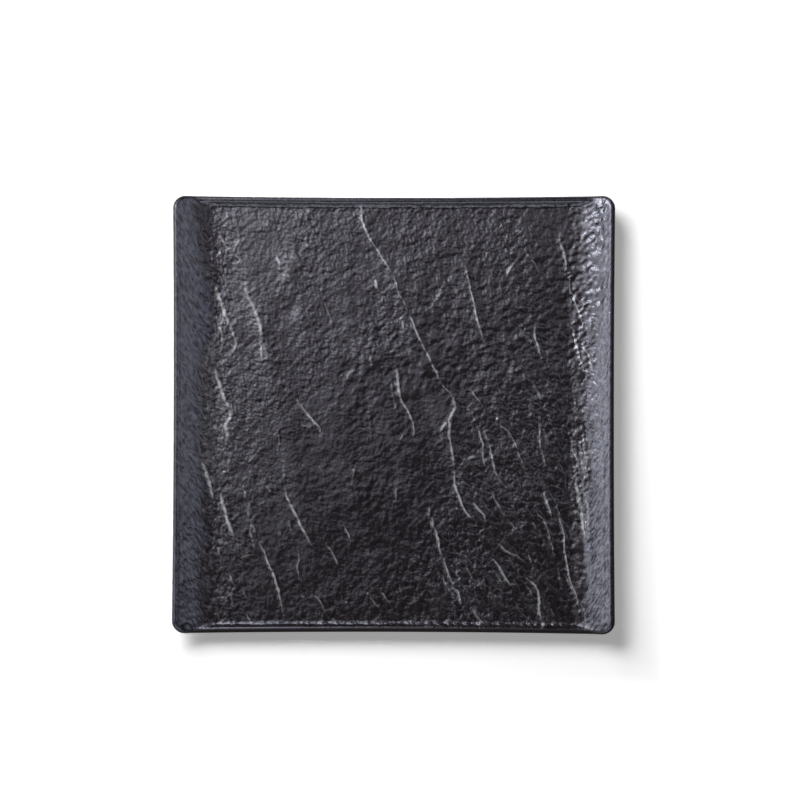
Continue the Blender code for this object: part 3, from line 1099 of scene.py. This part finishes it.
@dataclass(frozen=True)
class StoneFace:
    """The cleft slate relief of the plate's face. Lengths are in millimetres."""

    ledge_height: float = 0.7
    ledge_run: float = 1.6
    ledge_ease: float = 10.0
    vein_ridge: float = 0.22
    vein_step: float = 0.20
    vein_run_out: float = 7.0
    grain_height: float = 0.66
    ripple_height: float = 0.52
    furrow_height: float = 0.7
    rim_height: float = 0.45
    groove_depth: float = 0.3
    groove_inset: float = 5.9
    groove_width: float = 0.8
    lump_height: float = 0.32
    swell_height: float = 0.36
    streak_height: float = 0.18
    fold_height: float = 0.22
    pit_depth: float = 0.08
    deepest: float = 0.5
    end_border: float = 5.0
    end_border_blur: float = 1.5
    border_blur: float = 5.0
    wing_grain: float = 0.65
    waver: float = 0.9
    waver_across: Texture = Texture(3.5, 9, 9)
    waver_along: Texture = Texture(4.5, 9, 9)
    coarse_edge: Texture = Texture(1.5, 14, 14)
    fine_edge: Texture = Texture(2.5, 4, 4)
    broad_swell: Texture = Texture(5.5, 38, 38)
    small_swell: Texture = Texture(6.5, 16, 16)
    lump: Texture = Texture(7.5, 7.0, 6.5, Hand.RISING)
    strong_area: Texture = Texture(8.5, 40, 40)
    upper_grain: Texture = Texture(9.5, 1.8, 2.7, Hand.RISING)
    lower_grain: Texture = Texture(11.5, 1.5, 3.2, Hand.RISING)
    pebble: Texture = Texture(12.5, 2.6, 3.5, Hand.RISING)
    ripple: Texture = Texture(14.5, 2.8, 1.8, Hand.RISING)
    furrow: Texture = Texture(17.5, 30, 2.1, Hand.STEEP)
    bead: Texture = Texture(15.5, 2.6, 4.0)
    wear: Texture = Texture(16.5, 9, 13)
    crack: Texture = Texture(30.5, 34, 6.5, Hand.FALLING)
    crack_area: Texture = Texture(31.5, 30, 30)
    fold: Texture = Texture(32.5, 9, 4, Hand.RISING)
    fold_area: Texture = Texture(33.5, 22, 22)
    crease_area: Texture = Texture(34.5, 50, 50)
    first_vein_seed: float = 10.0
    vein_patch: float = 4.0

    def ledges(
        self, form: PlateForm, x: np.ndarray, y: np.ndarray, ease: float = 0.0
    ) -> np.ndarray:
        """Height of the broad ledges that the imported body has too.

        Args:
            form: The plate's form.
            x: Places across the plate, in metres.
            y: Places along it.
            ease: How much sooner than the body's ledges these start to rise, in millimetres.

        Returns:
            Heights in metres.
        """
        reach = form.half_depth - form.wall
        share = np.clip((y / reach + 1) / 2, 0, 1)
        half = form.floor_half
        run = self.ledge_run * MM
        lift = np.zeros(len(x))
        for ledge, after in zip(LEDGES, LEDGES[1:] + (None,)):
            edge = (ledge.near + (ledge.far - ledge.near) * share) * half
            if after:
                end = (edge + (after.near + (after.far - after.near) * share) * half) / 2
            else:
                end = np.full(len(x), half)
            rise = smooth_step(x - edge, -ease * MM - run / 2, run / 2)
            fall = np.clip((end - x) / (end - edge - run / 2), 0, 1)
            lift += ledge.boldness * np.minimum(rise, fall)
        return lift * np.sin(math.pi * share) * self.ledge_height * MM

    def stone_share(self, form: PlateForm, x: np.ndarray, y: np.ndarray) -> np.ndarray:
        """How far the stone texture shows: 1 on the floor, 0 on the smooth rims.

        Args:
            form: The plate's form.
            x: Places across the plate, in millimetres.
            y: Places along it.

        Returns:
            The share at each point.
        """
        ragged = 3.5 * self.coarse_edge.smooth(x, y) + 3.0 * self.fine_edge.smooth(x, y)
        blur, end_blur = self.border_blur, self.end_border_blur
        left_edge = np.interp(y, *np.array(LEFT_BORDER).T)
        right_edge = np.interp(y, *np.array(RIGHT_BORDER).T)
        left = smooth_step(x + form.half_width / MM + ragged - left_edge, -blur, blur)
        right = smooth_step(form.half_width / MM - x + ragged - right_edge, -blur, blur)
        end_gap = form.half_depth / MM - np.abs(y)
        end = smooth_step(end_gap, self.end_border - end_blur, self.end_border + end_blur)
        return left * right * end

    def veins(self, x: np.ndarray, y: np.ndarray) -> tuple[np.ndarray, np.ndarray, np.ndarray]:
        """Pale veins and the small steps beside them.

        Args:
            x: Places across the plate, in millimetres.
            y: Places along it.

        Returns:
            The veins' height in millimetres, how bold the boldest one is at each point, and how
            many of its widths the point lies to its left or right.
        """
        height, bold, aside = np.zeros(len(x)), np.zeros(len(x)), np.full(len(x), 4.0)
        reach = 4 * self.vein_run_out
        for index, vein in enumerate(VEINS):
            line = np.array(vein.points)
            low, high = line.min(axis=0) - reach, line.max(axis=0) + reach
            near = np.flatnonzero((x > low[0]) & (x < high[0]) & (y > low[1]) & (y < high[1]))
            across, along, gap = vein.trace(x[near], y[near])
            taper = np.sqrt(np.clip(np.sin(math.pi * np.clip(along, 0.02, 0.98)), 0, 1))
            patch = Texture(self.first_vein_seed + index, self.vein_patch, self.vein_patch)
            patchy = np.clip(0.85 + 0.7 * patch.smooth(x[near], y[near]), 0.35, 1.2)
            strength = vein.boldness * taper * patchy
            widths = gap / vein.width
            past_end = np.exp(-((np.clip(gap - np.abs(across), 0, None) / 2) ** 2))
            step = strength * smooth_step(across, -0.6, 0.9)
            step = step * np.exp(-np.abs(across) / self.vein_run_out)
            height[near] += self.vein_ridge * strength * np.exp(-widths * widths)
            height[near] += self.vein_step * step * past_end
            shown = strength * (1 - smooth_step(widths, 0.9, 1.8))
            bolder = shown > bold[near]
            bold[near] = np.where(bolder, shown, bold[near])
            aside[near] = np.where(bolder, across / vein.width, aside[near])
        return height, bold, aside

    def near_veins(self, plan: np.ndarray) -> np.ndarray:
        """Marks points that lie on or beside a vein or a pit.

        Args:
            plan: Points in metres, one to a row.

        Returns:
            Whether each point is marked.
        """
        x, y = plan.T / MM
        marked = np.zeros(len(x), dtype=bool)
        for vein in VEINS:
            marked |= vein.trace(x, y)[2] < vein.width + 1.0
        for pit in PITS:
            marked |= np.hypot(x - pit.x, y - pit.y) < 2 * pit.radius + 1
        return marked

    def grain_strength(self, x: np.ndarray, y: np.ndarray) -> np.ndarray:
        """How strong the grain is, from area to area.

        Args:
            x: Places across the plate, in millimetres.
            y: Places along it.

        Returns:
            A factor for the grain's height, at each point.
        """
        strength = np.clip(0.95 + 0.35 * self.strong_area.smooth(x, y) + 0.0012 * x, 0.2, 1.5)
        strength = strength * (1 - covered(CALM_AREAS, x, y)) + 0.5 * smooth_step(-x, 112, 132)
        right = 1 - 0.35 * smooth_step(x, 100, 130)
        lower_right = 1 + 0.45 * smooth_step(x - y, 20, 120)
        return strength * right * lower_right

    def hills(self, x: np.ndarray, y: np.ndarray) -> np.ndarray:
        """The grain's hills, which are longer and narrower in the lower half of the face."""
        upper = smooth_step(y, -80, 40)
        return self.upper_grain.smooth(x, y) * upper + self.lower_grain.smooth(x, y) * (1 - upper)

    def right_root(self, x: np.ndarray, y: np.ndarray, stone: np.ndarray) -> np.ndarray:
        """Ripples and furrows where the right wing starts.

        Args:
            x: Places across the plate, in millimetres.
            y: Places along it.
            stone: How far the stone texture shows.

        Returns:
            Their height in millimetres.
        """
        upper = smooth_step(y, 10, 80)
        ripples = self.ripple.smooth(x, y) * smooth_step(x, 114, 134)
        ripples *= (0.4 + 0.6 * stone) * (0.6 + 0.9 * upper)
        furrows = self.furrow.smooth(x, y) * smooth_step(x, 120, 136)
        furrows *= stone * (1 - 0.8 * upper - 0.75 * smooth_step(-y, 75, 100))
        return self.ripple_height * ripples + self.furrow_height * furrows

    def left_root(self, x: np.ndarray, y: np.ndarray) -> np.ndarray:
        """How far the glaze thins out where the left wing starts, from 0 to 1."""
        root = smooth_step(-x, 116, 130) * smooth_step(x, -152, -142)
        return root * (0.7 + 0.3 * smooth_step(y, -90, -20) - 0.7 * smooth_step(y, 55, 90))

    def cracks(self, x: np.ndarray, y: np.ndarray) -> tuple[np.ndarray, np.ndarray]:
        """Fine cracks in the stone.

        Args:
            x: Places across the plate, in millimetres.
            y: Places along it.

        Returns:
            Long streaks and short folds, both from 0 to 1.
        """
        streaks = (1 - np.abs(self.crack.smooth(x, y))) ** 6
        streaks = streaks * smooth_step(self.crack_area.smooth(x, y) + x / 220, 0.0, 0.35)
        folds = (1 - np.abs(self.fold.smooth(x, y))) ** 5
        folds = folds * smooth_step(self.fold_area.smooth(x, y) + x / 400, -0.05, 0.3)
        return streaks, folds

    def creases(self, x: np.ndarray, y: np.ndarray) -> np.ndarray:
        """How far fine pale creases show, from area to area; their paleness is partly a painted
        highlight on their relief.
        """
        lower_right = smooth_step(x - 0.8 * y + 60 * self.crease_area.smooth(x, y), 50, 170)
        return 0.2 + 0.8 * np.maximum(lower_right, covered(CREASED_AREAS, x, y))

    def at(self, form: PlateForm, x: np.ndarray, y: np.ndarray) -> Relief:
        """Works out the whole relief.

        Args:
            form: The plate's form.
            x: Places across the plate, in metres.
            y: Places along it.

        Returns:
            The relief, its height in metres.
        """
        mx, my = x / MM, y / MM
        rim_gap = form.half_width / MM - np.abs(mx)
        end_gap = form.half_depth / MM - np.abs(my)
        wx, wy = self.waver_across.smooth(mx, my), self.waver_along.smooth(mx, my)
        mx, my = mx + self.waver * wx, my + self.waver * wy
        stone = self.stone_share(form, mx, my)
        face = self.wing_grain * smooth_step(np.minimum(rim_gap, end_gap), 5, 8)
        face = np.maximum(stone, face)
        vein_height, vein, aside = self.veins(mx, my)
        hills = self.hills(mx, my)
        streaks, folds = self.cracks(mx, my)
        # Thin-glaze spots, together with the painted glints on the bottom rim and the painted
        # highlight along the right welt.
        thin = covered(THIN_SPOTS_AND_PAINTED_HIGHLIGHTS, mx, my) * np.clip(0.7 + 1.1 * hills, 0, 1.3)
        hole = covered(PITS, mx, my)

        strength = self.grain_strength(mx, my)
        rugged = face * strength * (1 + 0.35 * smooth_step(my - 0.8 * mx, 0, 100))
        strength = strength * (1 - 0.7 * np.clip(np.maximum(vein, thin), 0, 1))
        grain = 0.65 * hills + 0.35 * self.pebble.pebbles(mx, my)
        lumps = self.lump.smooth(mx, my) * (0.3 + covered(LUMPY_AREAS, mx, my))
        swell = self.broad_swell.smooth(mx, my) + 0.7 * self.small_swell.smooth(mx, my)
        fine = self.grain_height * strength * grain
        fine = fine + self.streak_height * streaks + self.fold_height * folds
        fine += self.right_root(mx, my, stone)
        broad = self.lump_height * lumps + self.swell_height * swell + covered(KNOLLS, mx, my)
        broad += sum((welt.lift(mx, my) for welt in WELTS), np.zeros(len(x)))
        lift = np.maximum(fine + broad + vein_height, -self.deepest) - self.pit_depth * hole

        wall = form.wall / MM
        beads = self.bead.smooth(mx, my) * smooth_step(-end_gap, -9, -7)
        beads *= smooth_step(end_gap, wall, wall + 1.2)
        worn = np.clip(0.5 + 1.1 * self.wear.smooth(mx, my), 0, 1.2)
        groove = np.exp(-(((rim_gap - self.groove_inset + 0.5 * wx) / self.groove_width) ** 2))
        groove = groove * worn * (1 - 0.8 * smooth_step(my, 30, 70))
        lift = lift * face + self.rim_height * beads - self.groove_depth * groove
        lift = np.maximum(lift, -self.deepest - self.pit_depth)

        crest = np.clip(0.45 + 0.8 * grain * strength + 0.25 * lumps + 0.5 * streaks, 0, 1)
        thin = np.maximum(thin, 0.12 * streaks)
        root = 0.34 * self.left_root(mx, my)
        thin = np.maximum(thin, root * np.clip(0.7 + 0.8 * hills, 0, 1.5))
        shown = 0.25 + 0.75 * stone
        wing = smooth_step(np.abs(x) - form.floor_half, 0, form.wing_run / 3)
        top = smooth_step(y / MM, form.half_depth / MM - 8, form.half_depth / MM - 5)
        return Relief(
            height=self.ledges(form, x, y, self.ledge_ease) + lift * MM,
            rugged=rugged,
            # On the top rim the band lets its colour lighten the shaded foot of the rim's wall:
            # painted light.
            band=np.maximum(wing * (1 - stone), 0.7 * top),
            vein=vein * shown,
            aside=aside,
            thin=thin * shown,
            crest=crest * (1 - hole),
            creased=self.creases(mx, my),
            gloss=np.ones(len(x)),
        )


class CoatSheet:
    """An open sheet of glaze: a grid over the face that is pulled outwards ring by ring."""

    def __init__(self, form: PlateForm, columns: np.ndarray, rows: np.ndarray) -> None:
        """Lays the grid out over the face.

        Args:
            form: The plate's form.
            columns: Places of the grid's columns, across the plate.
            rows: Places of its rows, along the plate.
        """
        self.form = form
        self.mesh = bmesh.new()
        counts = (len(columns) - 1, len(rows) - 1)
        bmesh.ops.create_grid(self.mesh, x_segments=counts[0], y_segments=counts[1], size=1)
        spots = (np.array([vert.co[:2] for vert in self.mesh.verts]) + 1) / 2 * counts
        spots = np.rint(spots).astype(int)
        self.plan = self.rounded(columns[spots[:, 0]], rows[spots[:, 1]])
        self.berth = self.mesh.verts.layers.int.new("berth")
        rim = [vert for vert in self.mesh.verts if vert.is_boundary]
        for berth, vert in enumerate(rim):
            vert[self.berth] = berth
        self.outline = Outline.around(form, self.plan[[vert.index for vert in rim]])

    def rounded(self, x: np.ndarray, y: np.ndarray) -> np.ndarray:
        """Draws the grid's square corners in to the lip's inner line.

        Args:
            x: Places across the plate.
            y: Places along it.

        Returns:
            Points in plan, one to a row.
        """
        form = self.form
        limit = form.corner_radius - form.wall
        across = np.maximum(np.abs(x) - form.half_width + form.corner_radius, 0)
        along = np.maximum(np.abs(y) - form.half_depth + form.corner_radius, 0)
        corner = (across > 0) & (along > 0)
        reach = np.where(corner, np.hypot(across, along), 1)
        share = np.where(corner, np.minimum(np.maximum(across, along), limit) / reach, 1)
        drawn_x = x - np.sign(x) * across * (1 - share)
        drawn_y = y - np.sign(y) * along * (1 - share)
        return np.column_stack([drawn_x, drawn_y])

    def refine(self, fine: np.ndarray) -> None:
        """Halves the grid's squares that have all their corners marked.

        Args:
            fine: Whether each vertex is marked.
        """
        self.lift(np.zeros(len(self.plan)))
        faces = [face for face in self.mesh.faces if all(fine[vert.index] for vert in face.verts)]
        edges = dict.fromkeys(edge for face in faces for edge in face.edges)
        bmesh.ops.subdivide_edges(self.mesh, edges=list(edges), cuts=1, use_grid_fill=True)
        self.mesh.verts.index_update()
        self.plan = np.array([vert.co[:2] for vert in self.mesh.verts])

    def lift(self, heights: np.ndarray) -> None:
        """Raises the grid's vertices to these heights."""
        for vert, (x, y), z in zip(self.mesh.verts, self.plan, heights):
            vert.co = (x, y, z)

    def store(self, name: str, values: np.ndarray) -> None:
        """Keeps a number for each vertex of the grid, as an attribute of the mesh.

        Args:
            name: The attribute's name.
            values: The numbers, in the vertices' order.
        """
        layer = self.mesh.verts.layers.float.new(name)
        for vert, value in zip(self.mesh.verts, values):
            vert[layer] = value

    def pull(self, ring: np.ndarray, kept: float, gloss: np.ndarray) -> None:
        """Extrudes the open rim by one ring.

        Args:
            ring: The new ring's points.
            kept: How much of each stored number goes on to the new ring.
            gloss: How glossy the glaze is at each of the ring's points.
        """
        rim = [edge for edge in self.mesh.edges if edge.is_boundary]
        made = bmesh.ops.extrude_edge_only(self.mesh, edges=rim)["geom"]
        for vert in (item for item in made if isinstance(item, bmesh.types.BMVert)):
            vert.co = ring[vert[self.berth]]
            for name, layer in self.mesh.verts.layers.float.items():
                vert[layer] = gloss[vert[self.berth]] if name == "gloss" else vert[layer] * kept


@dataclass
class OuterGlaze:
    """The coat over face, lip and underside, with the stone relief in its mesh."""

    form: PlateForm
    face: StoneFace
    finish: SlateGlaze
    spacing: float = 1.36 * MM
    corner_steps: int = 5
    skin: float = 0.02 * MM
    thickness: float = 0.6 * MM
    lining_spacing: float = 9 * MM
    lip_rings: tuple[float, ...] = (1, 0.75, 0.5, 0.25, 0, -0.33, -0.67, -1)
    underside_rings: tuple[float, ...] = (0.25, 0.5, 0.75, 1)
    foot_gap: float = 0.1 * MM
    under_gloss: float = 0.6
    left_gloss: float = 0.75
    top_gloss: float = 0.6

    def stations(self, half: float, spacing: float) -> np.ndarray:
        """Places of grid lines from one lip to the other.

        Args:
            half: Half the plate's size in that direction.
            spacing: Distance between lines, away from the corners.

        Returns:
            The places, in order.
        """
        radius = self.form.corner_radius
        middle = half - radius
        steps = np.arange(1, self.corner_steps + 1) / self.corner_steps
        corner = middle + (radius - self.form.wall) * np.tan(math.pi / 4 * steps)
        inner = np.linspace(-middle, middle, round(2 * middle / spacing) + 1)
        return np.concatenate([-corner[::-1], inner, corner])

    def face_grid(self, spacing: float) -> CoatSheet:
        """Lays out a flat sheet over the face.

        Args:
            spacing: Distance between its grid lines.

        Returns:
            The sheet.
        """
        columns = self.stations(self.form.half_width, spacing)
        rows = self.stations(self.form.half_depth, spacing)
        return CoatSheet(self.form, columns, rows)

    def carved(self) -> CoatSheet:
        """Makes the face with the stone relief and the numbers that the finish reads.

        Returns:
            The sheet, still without lip and underside.
        """
        form = self.form
        sheet = self.face_grid(self.spacing)
        edges = np.array([form.half_width, form.half_depth])
        inside = np.abs(sheet.plan) < edges - 1.5 * form.wall
        sheet.refine(self.face.near_veins(sheet.plan) & inside.all(axis=1))
        x, y = sheet.plan.T
        relief = self.face.at(form, x, y)
        for name in COAT_ATTRIBUTES:
            sheet.store(name, getattr(relief, name))
        sheet.lift(form.height(x, y, self.skin) + relief.height)
        return sheet

    def lining(self) -> CoatSheet:
        """Makes the face of the coat's inner side, with the broad ledges alone.

        Returns:
            The sheet, still without lip and underside.
        """
        sheet = self.face_grid(self.lining_spacing)
        x, y = sheet.plan.T
        sheet.lift(self.form.height(x, y, self.thickness) + self.face.ledges(self.form, x, y))
        return sheet

    def wrap(self, sheet: CoatSheet, deep: float, turns: np.ndarray) -> None:
        """Takes a sheet round the lip and over the underside to the foot ring.

        Args:
            sheet: The sheet over the face.
            deep: Its depth below the finished surface.
            turns: Rings on the lip.
        """
        leftward, upward = np.maximum(sheet.outline.outward * (-1, 1), 0).T
        lip_gloss = np.maximum(self.left_gloss * leftward, self.top_gloss * upward)
        under_gloss = np.full(len(lip_gloss), self.under_gloss)
        for turn in turns:
            gloss = np.maximum(lip_gloss, 2 * turn - 1)
            sheet.pull(sheet.outline.lip(turn, deep), max(turn, 0), gloss)
        for share in self.underside_rings:
            sheet.pull(sheet.outline.underside(share, deep), 0, under_gloss)
        end = sheet.outline.foot(-self.foot_gap, self.form.foot_height + deep)
        sheet.pull(end, 0, under_gloss)

    def build(self) -> bpy.types.Object:
        """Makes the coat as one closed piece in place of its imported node.

        Returns:
            The piece.
        """
        outer = self.carved()
        self.wrap(outer, self.skin, np.array(self.lip_rings))
        lining = self.lining()
        self.wrap(lining, self.thickness, np.array(self.lip_rings[::2]))
        bmesh.ops.reverse_faces(lining.mesh, faces=lining.mesh.faces)
        scrap = bpy.data.meshes.new("lining")
        lining.mesh.to_mesh(scrap)
        lining.mesh.free()
        outer.mesh.from_mesh(scrap)
        bpy.data.meshes.remove(scrap)
        rims = [edge for edge in outer.mesh.edges if edge.is_boundary]
        bmesh.ops.bridge_loops(outer.mesh, edges=rims)
        piece = as_piece("slate_glaze", outer.mesh, self.form)
        piece.data.materials.append(self.finish.material("slate_glaze"))
        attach(piece, "root")
        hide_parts("outer_glaze")
        return piece


def sort_faces(mesh: bmesh.types.BMesh) -> None:
    """Sorts the faces by their corners, as subdividing lists them in no fixed order.

    Args:
        mesh: The bmesh to sort.
    """
    mesh.verts.index_update()
    faces = sorted(mesh.faces, key=lambda face: [vert.index for vert in face.verts])
    for index, face in enumerate(faces):
        face.index = index
    mesh.faces.sort()


def as_piece(name: str, mesh: bmesh.types.BMesh, form: PlateForm) -> bpy.types.Object:
    """Turns a bmesh of the plain form into a smooth-shaded piece with its sides bowed.

    Args:
        name: The piece's name.
        mesh: The bmesh, which is freed.
        form: The plate's form.

    Returns:
        The piece, linked to the scene.
    """
    points = form.bowed(np.array([vert.co for vert in mesh.verts]))
    for vert, point in zip(mesh.verts, points):
        vert.co = point
    sort_faces(mesh)
    data = bpy.data.meshes.new(name)
    mesh.to_mesh(data)
    mesh.free()
    data.shade_smooth()
    piece = bpy.data.objects.new(name, data)
    bpy.context.scene.collection.objects.link(piece)
    return piece


@dataclass(frozen=True)
class PackedPiece:
    """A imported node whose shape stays, with a finish of its own."""

    node: str
    finish: Union[PlainGlaze, BareStoneware]

    def dress(self) -> bpy.types.Object:
        """Gives the node its finish.

        Returns:
            The node's object.
        """
        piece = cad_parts[self.node]
        piece.data.materials.clear()
        piece.data.materials.append(self.finish.material(self.node))
        return piece


class Duty(Enum):
    """What a studio light is there for."""

    SHEEN = "reflections in the glaze"
    SHADOW = "light on floor and plate, with the shadow it leaves"


WARM = (1.0, 0.975, 0.95)


@dataclass(frozen=True)
class Softbox:
    """A rectangular studio light that faces the plate."""

    name: str
    place: tuple[float, float, float]
    size: tuple[float, float]
    power: float
    duty: Duty
    tint: Colour = (1.0, 1.0, 1.0)

    def hang(self, target: Vector) -> None:
        """Hangs the light.

        Args:
            target: The place that it faces.
        """
        lamp = bpy.data.lights.new(self.name, "AREA")
        lamp.shape = "RECTANGLE"
        lamp.size, lamp.size_y = self.size
        lamp.energy = self.power
        lamp.color = self.tint
        holder = bpy.data.objects.new(self.name, lamp)
        holder.visible_glossy = self.duty is Duty.SHEEN
        holder.visible_diffuse = self.duty is Duty.SHADOW
        holder.location = self.place
        holder.rotation_euler = (target - Vector(self.place)).to_track_quat("-Z", "Y").to_euler()
        bpy.context.scene.collection.objects.link(holder)


@dataclass(frozen=True)
class Studio:
    """White floor, soft light and the overhead camera."""

    frame_width: float = 0.5883
    camera_aim: tuple[float, float, float] = (0.00475, 0.01071, 0.012)
    camera_distance: float = 1.888
    camera_tilt: tuple[float, float, float] = (0.67, 0.74, 0.1)
    sensor: float = 36.0
    floor_size: float = 8.0
    floor_white: Colour = (0.95, 0.95, 0.95)
    floor_glow: float = 0.315
    far_glow: float = 0.7
    glow_start: float = 26 * MM
    glow_end: float = 70 * MM
    world_white: Colour = (1.0, 1.0, 1.0)
    world_light: float = 0.03
    backdrop_top: tuple[float, float] = (0.04, 0.2)
    backdrop_gap: tuple[float, float] = (0.2, 0.7)
    softboxes: tuple[Softbox, ...] = (
        Softbox("key_softbox", (-0.46, 0.47, 1.02), (0.8, 0.8), 4.3, Duty.SHEEN, WARM),
        Softbox("core_softbox", (-0.53, 0.47, 1.00), (0.4, 0.4), 1.7, Duty.SHEEN, WARM),
        Softbox("veil_softbox", (-0.15, 0.18, 1.25), (1.1, 0.50), 1.3, Duty.SHEEN, WARM),
        Softbox("left_softbox", (-1.00, 0.03, 0.84), (0.9, 0.80), 5.8, Duty.SHEEN),
        Softbox("left_core_softbox", (-0.74, 0.53, 0.91), (0.3, 0.26), 3.9, Duty.SHEEN),
        Softbox("back_softbox", (-0.45, 0.97, 0.82), (0.9, 0.35), 6.2, Duty.SHEEN),
        Softbox("right_softbox", (0.83, 0.22, 0.90), (1.0, 0.9), 2.3, Duty.SHEEN),
        Softbox("front_softbox", (-0.10, -1.00, 0.78), (1.2, 0.7), 5.0, Duty.SHEEN),
        Softbox("shadow_softbox", (-0.626, 0.879, 0.813), (1.0, 0.7), 32.0, Duty.SHADOW),
    )

    def camera(self) -> None:
        """Puts the camera almost straight above the plate."""
        lens = bpy.data.cameras.new("camera")
        lens.sensor_width = self.sensor
        lens.lens = self.sensor * self.camera_distance / self.frame_width
        holder = bpy.data.objects.new("camera", lens)
        holder.rotation_euler = [math.radians(angle) for angle in self.camera_tilt]
        back = holder.rotation_euler.to_matrix() @ Vector((0, 0, self.camera_distance))
        holder.location = Vector(self.camera_aim) + back
        bpy.context.scene.collection.objects.link(holder)
        bpy.context.scene.camera = holder

    def floor(self) -> None:
        """Lays the white floor, which keeps the plate's shadow and is clear from below."""
        mesh = bmesh.new()
        bmesh.ops.create_grid(mesh, x_segments=1, y_segments=1, size=self.floor_size / 2)
        data = bpy.data.meshes.new("floor")
        mesh.to_mesh(data)
        mesh.free()
        recipe = Recipe(bpy.data.materials.new("floor"))
        across, along = recipe.numbers("ShaderNodeSeparateXYZ", {0: recipe.place()}, "X", "Y")
        across, along = across.math("ABSOLUTE", across), along.math("ABSOLUTE", along)
        gap = across.math("MAXIMUM", across, along)
        edge = (CAD_BOX[1][0] - CAD_BOX[0][0]) / 2
        far = gap.spread(edge + self.glow_start, edge + self.glow_end)
        glow = recipe.seen() * (self.floor_glow + far * self.far_glow)
        recipe.feed(
            recipe.shader,
            {
                "Base Color": (*self.floor_white, 1),
                "Roughness": 1.0,
                "Specular IOR Level": 0.0,
                "Emission Color": recipe.blend(glow, (0.0, 0.0, 0.0), (1.0, 1.0, 1.0)),
                "Emission Strength": 1.0,
            },
        )
        (from_below,) = recipe.numbers("ShaderNodeNewGeometry", {}, "Backfacing")
        recipe.cover(from_below, {"Alpha": 0.0})
        data.materials.append(recipe.owner)
        floor = bpy.data.objects.new("floor", data)
        bpy.context.scene.collection.objects.link(floor)

    def world(self) -> None:
        """Makes the room white for the camera and, in the glaze, only low down and not behind."""
        world = bpy.data.worlds.new("studio")
        recipe = Recipe(world)
        ray = recipe.node("ShaderNodeTexCoord", {}, {}).outputs["Generated"]
        away, height = recipe.numbers("ShaderNodeSeparateXYZ", {0: ray}, "Y", "Z")
        low = 1 - height.spread(*self.backdrop_top)
        front = 1 - away.spread(*self.backdrop_gap)
        strength = self.world_light + (1 - self.world_light) * recipe.seen(low * front)
        recipe.feed(recipe.shader, {"Color": (*self.world_white, 1), "Strength": strength})
        bpy.context.scene.world = world

    def build(self) -> None:
        """Sets up floor, light and camera."""
        bpy.context.scene.view_settings.view_transform = "Standard"
        self.camera()
        self.floor()
        self.world()
        for softbox in self.softboxes:
            softbox.hang(Vector((0, 0, 0)))


def main() -> None:
    """Builds the dressed plate and its studio."""
    logging.basicConfig(level=logging.INFO, format="%(message)s")
    form = PlateForm.from_frame()
    coat = OuterGlaze(form, StoneFace(), SlateGlaze()).build()
    LOG.info("%s: %d faces", coat.name, len(coat.data.polygons))
    finishes = {"base_glaze": PlainGlaze(), "stoneware_body": BareStoneware()}
    for node, finish in finishes.items():
        LOG.info("%s: dressed", PackedPiece(node, finish).dress().name)
    Studio().build()


if __name__ == "__main__":
    main()
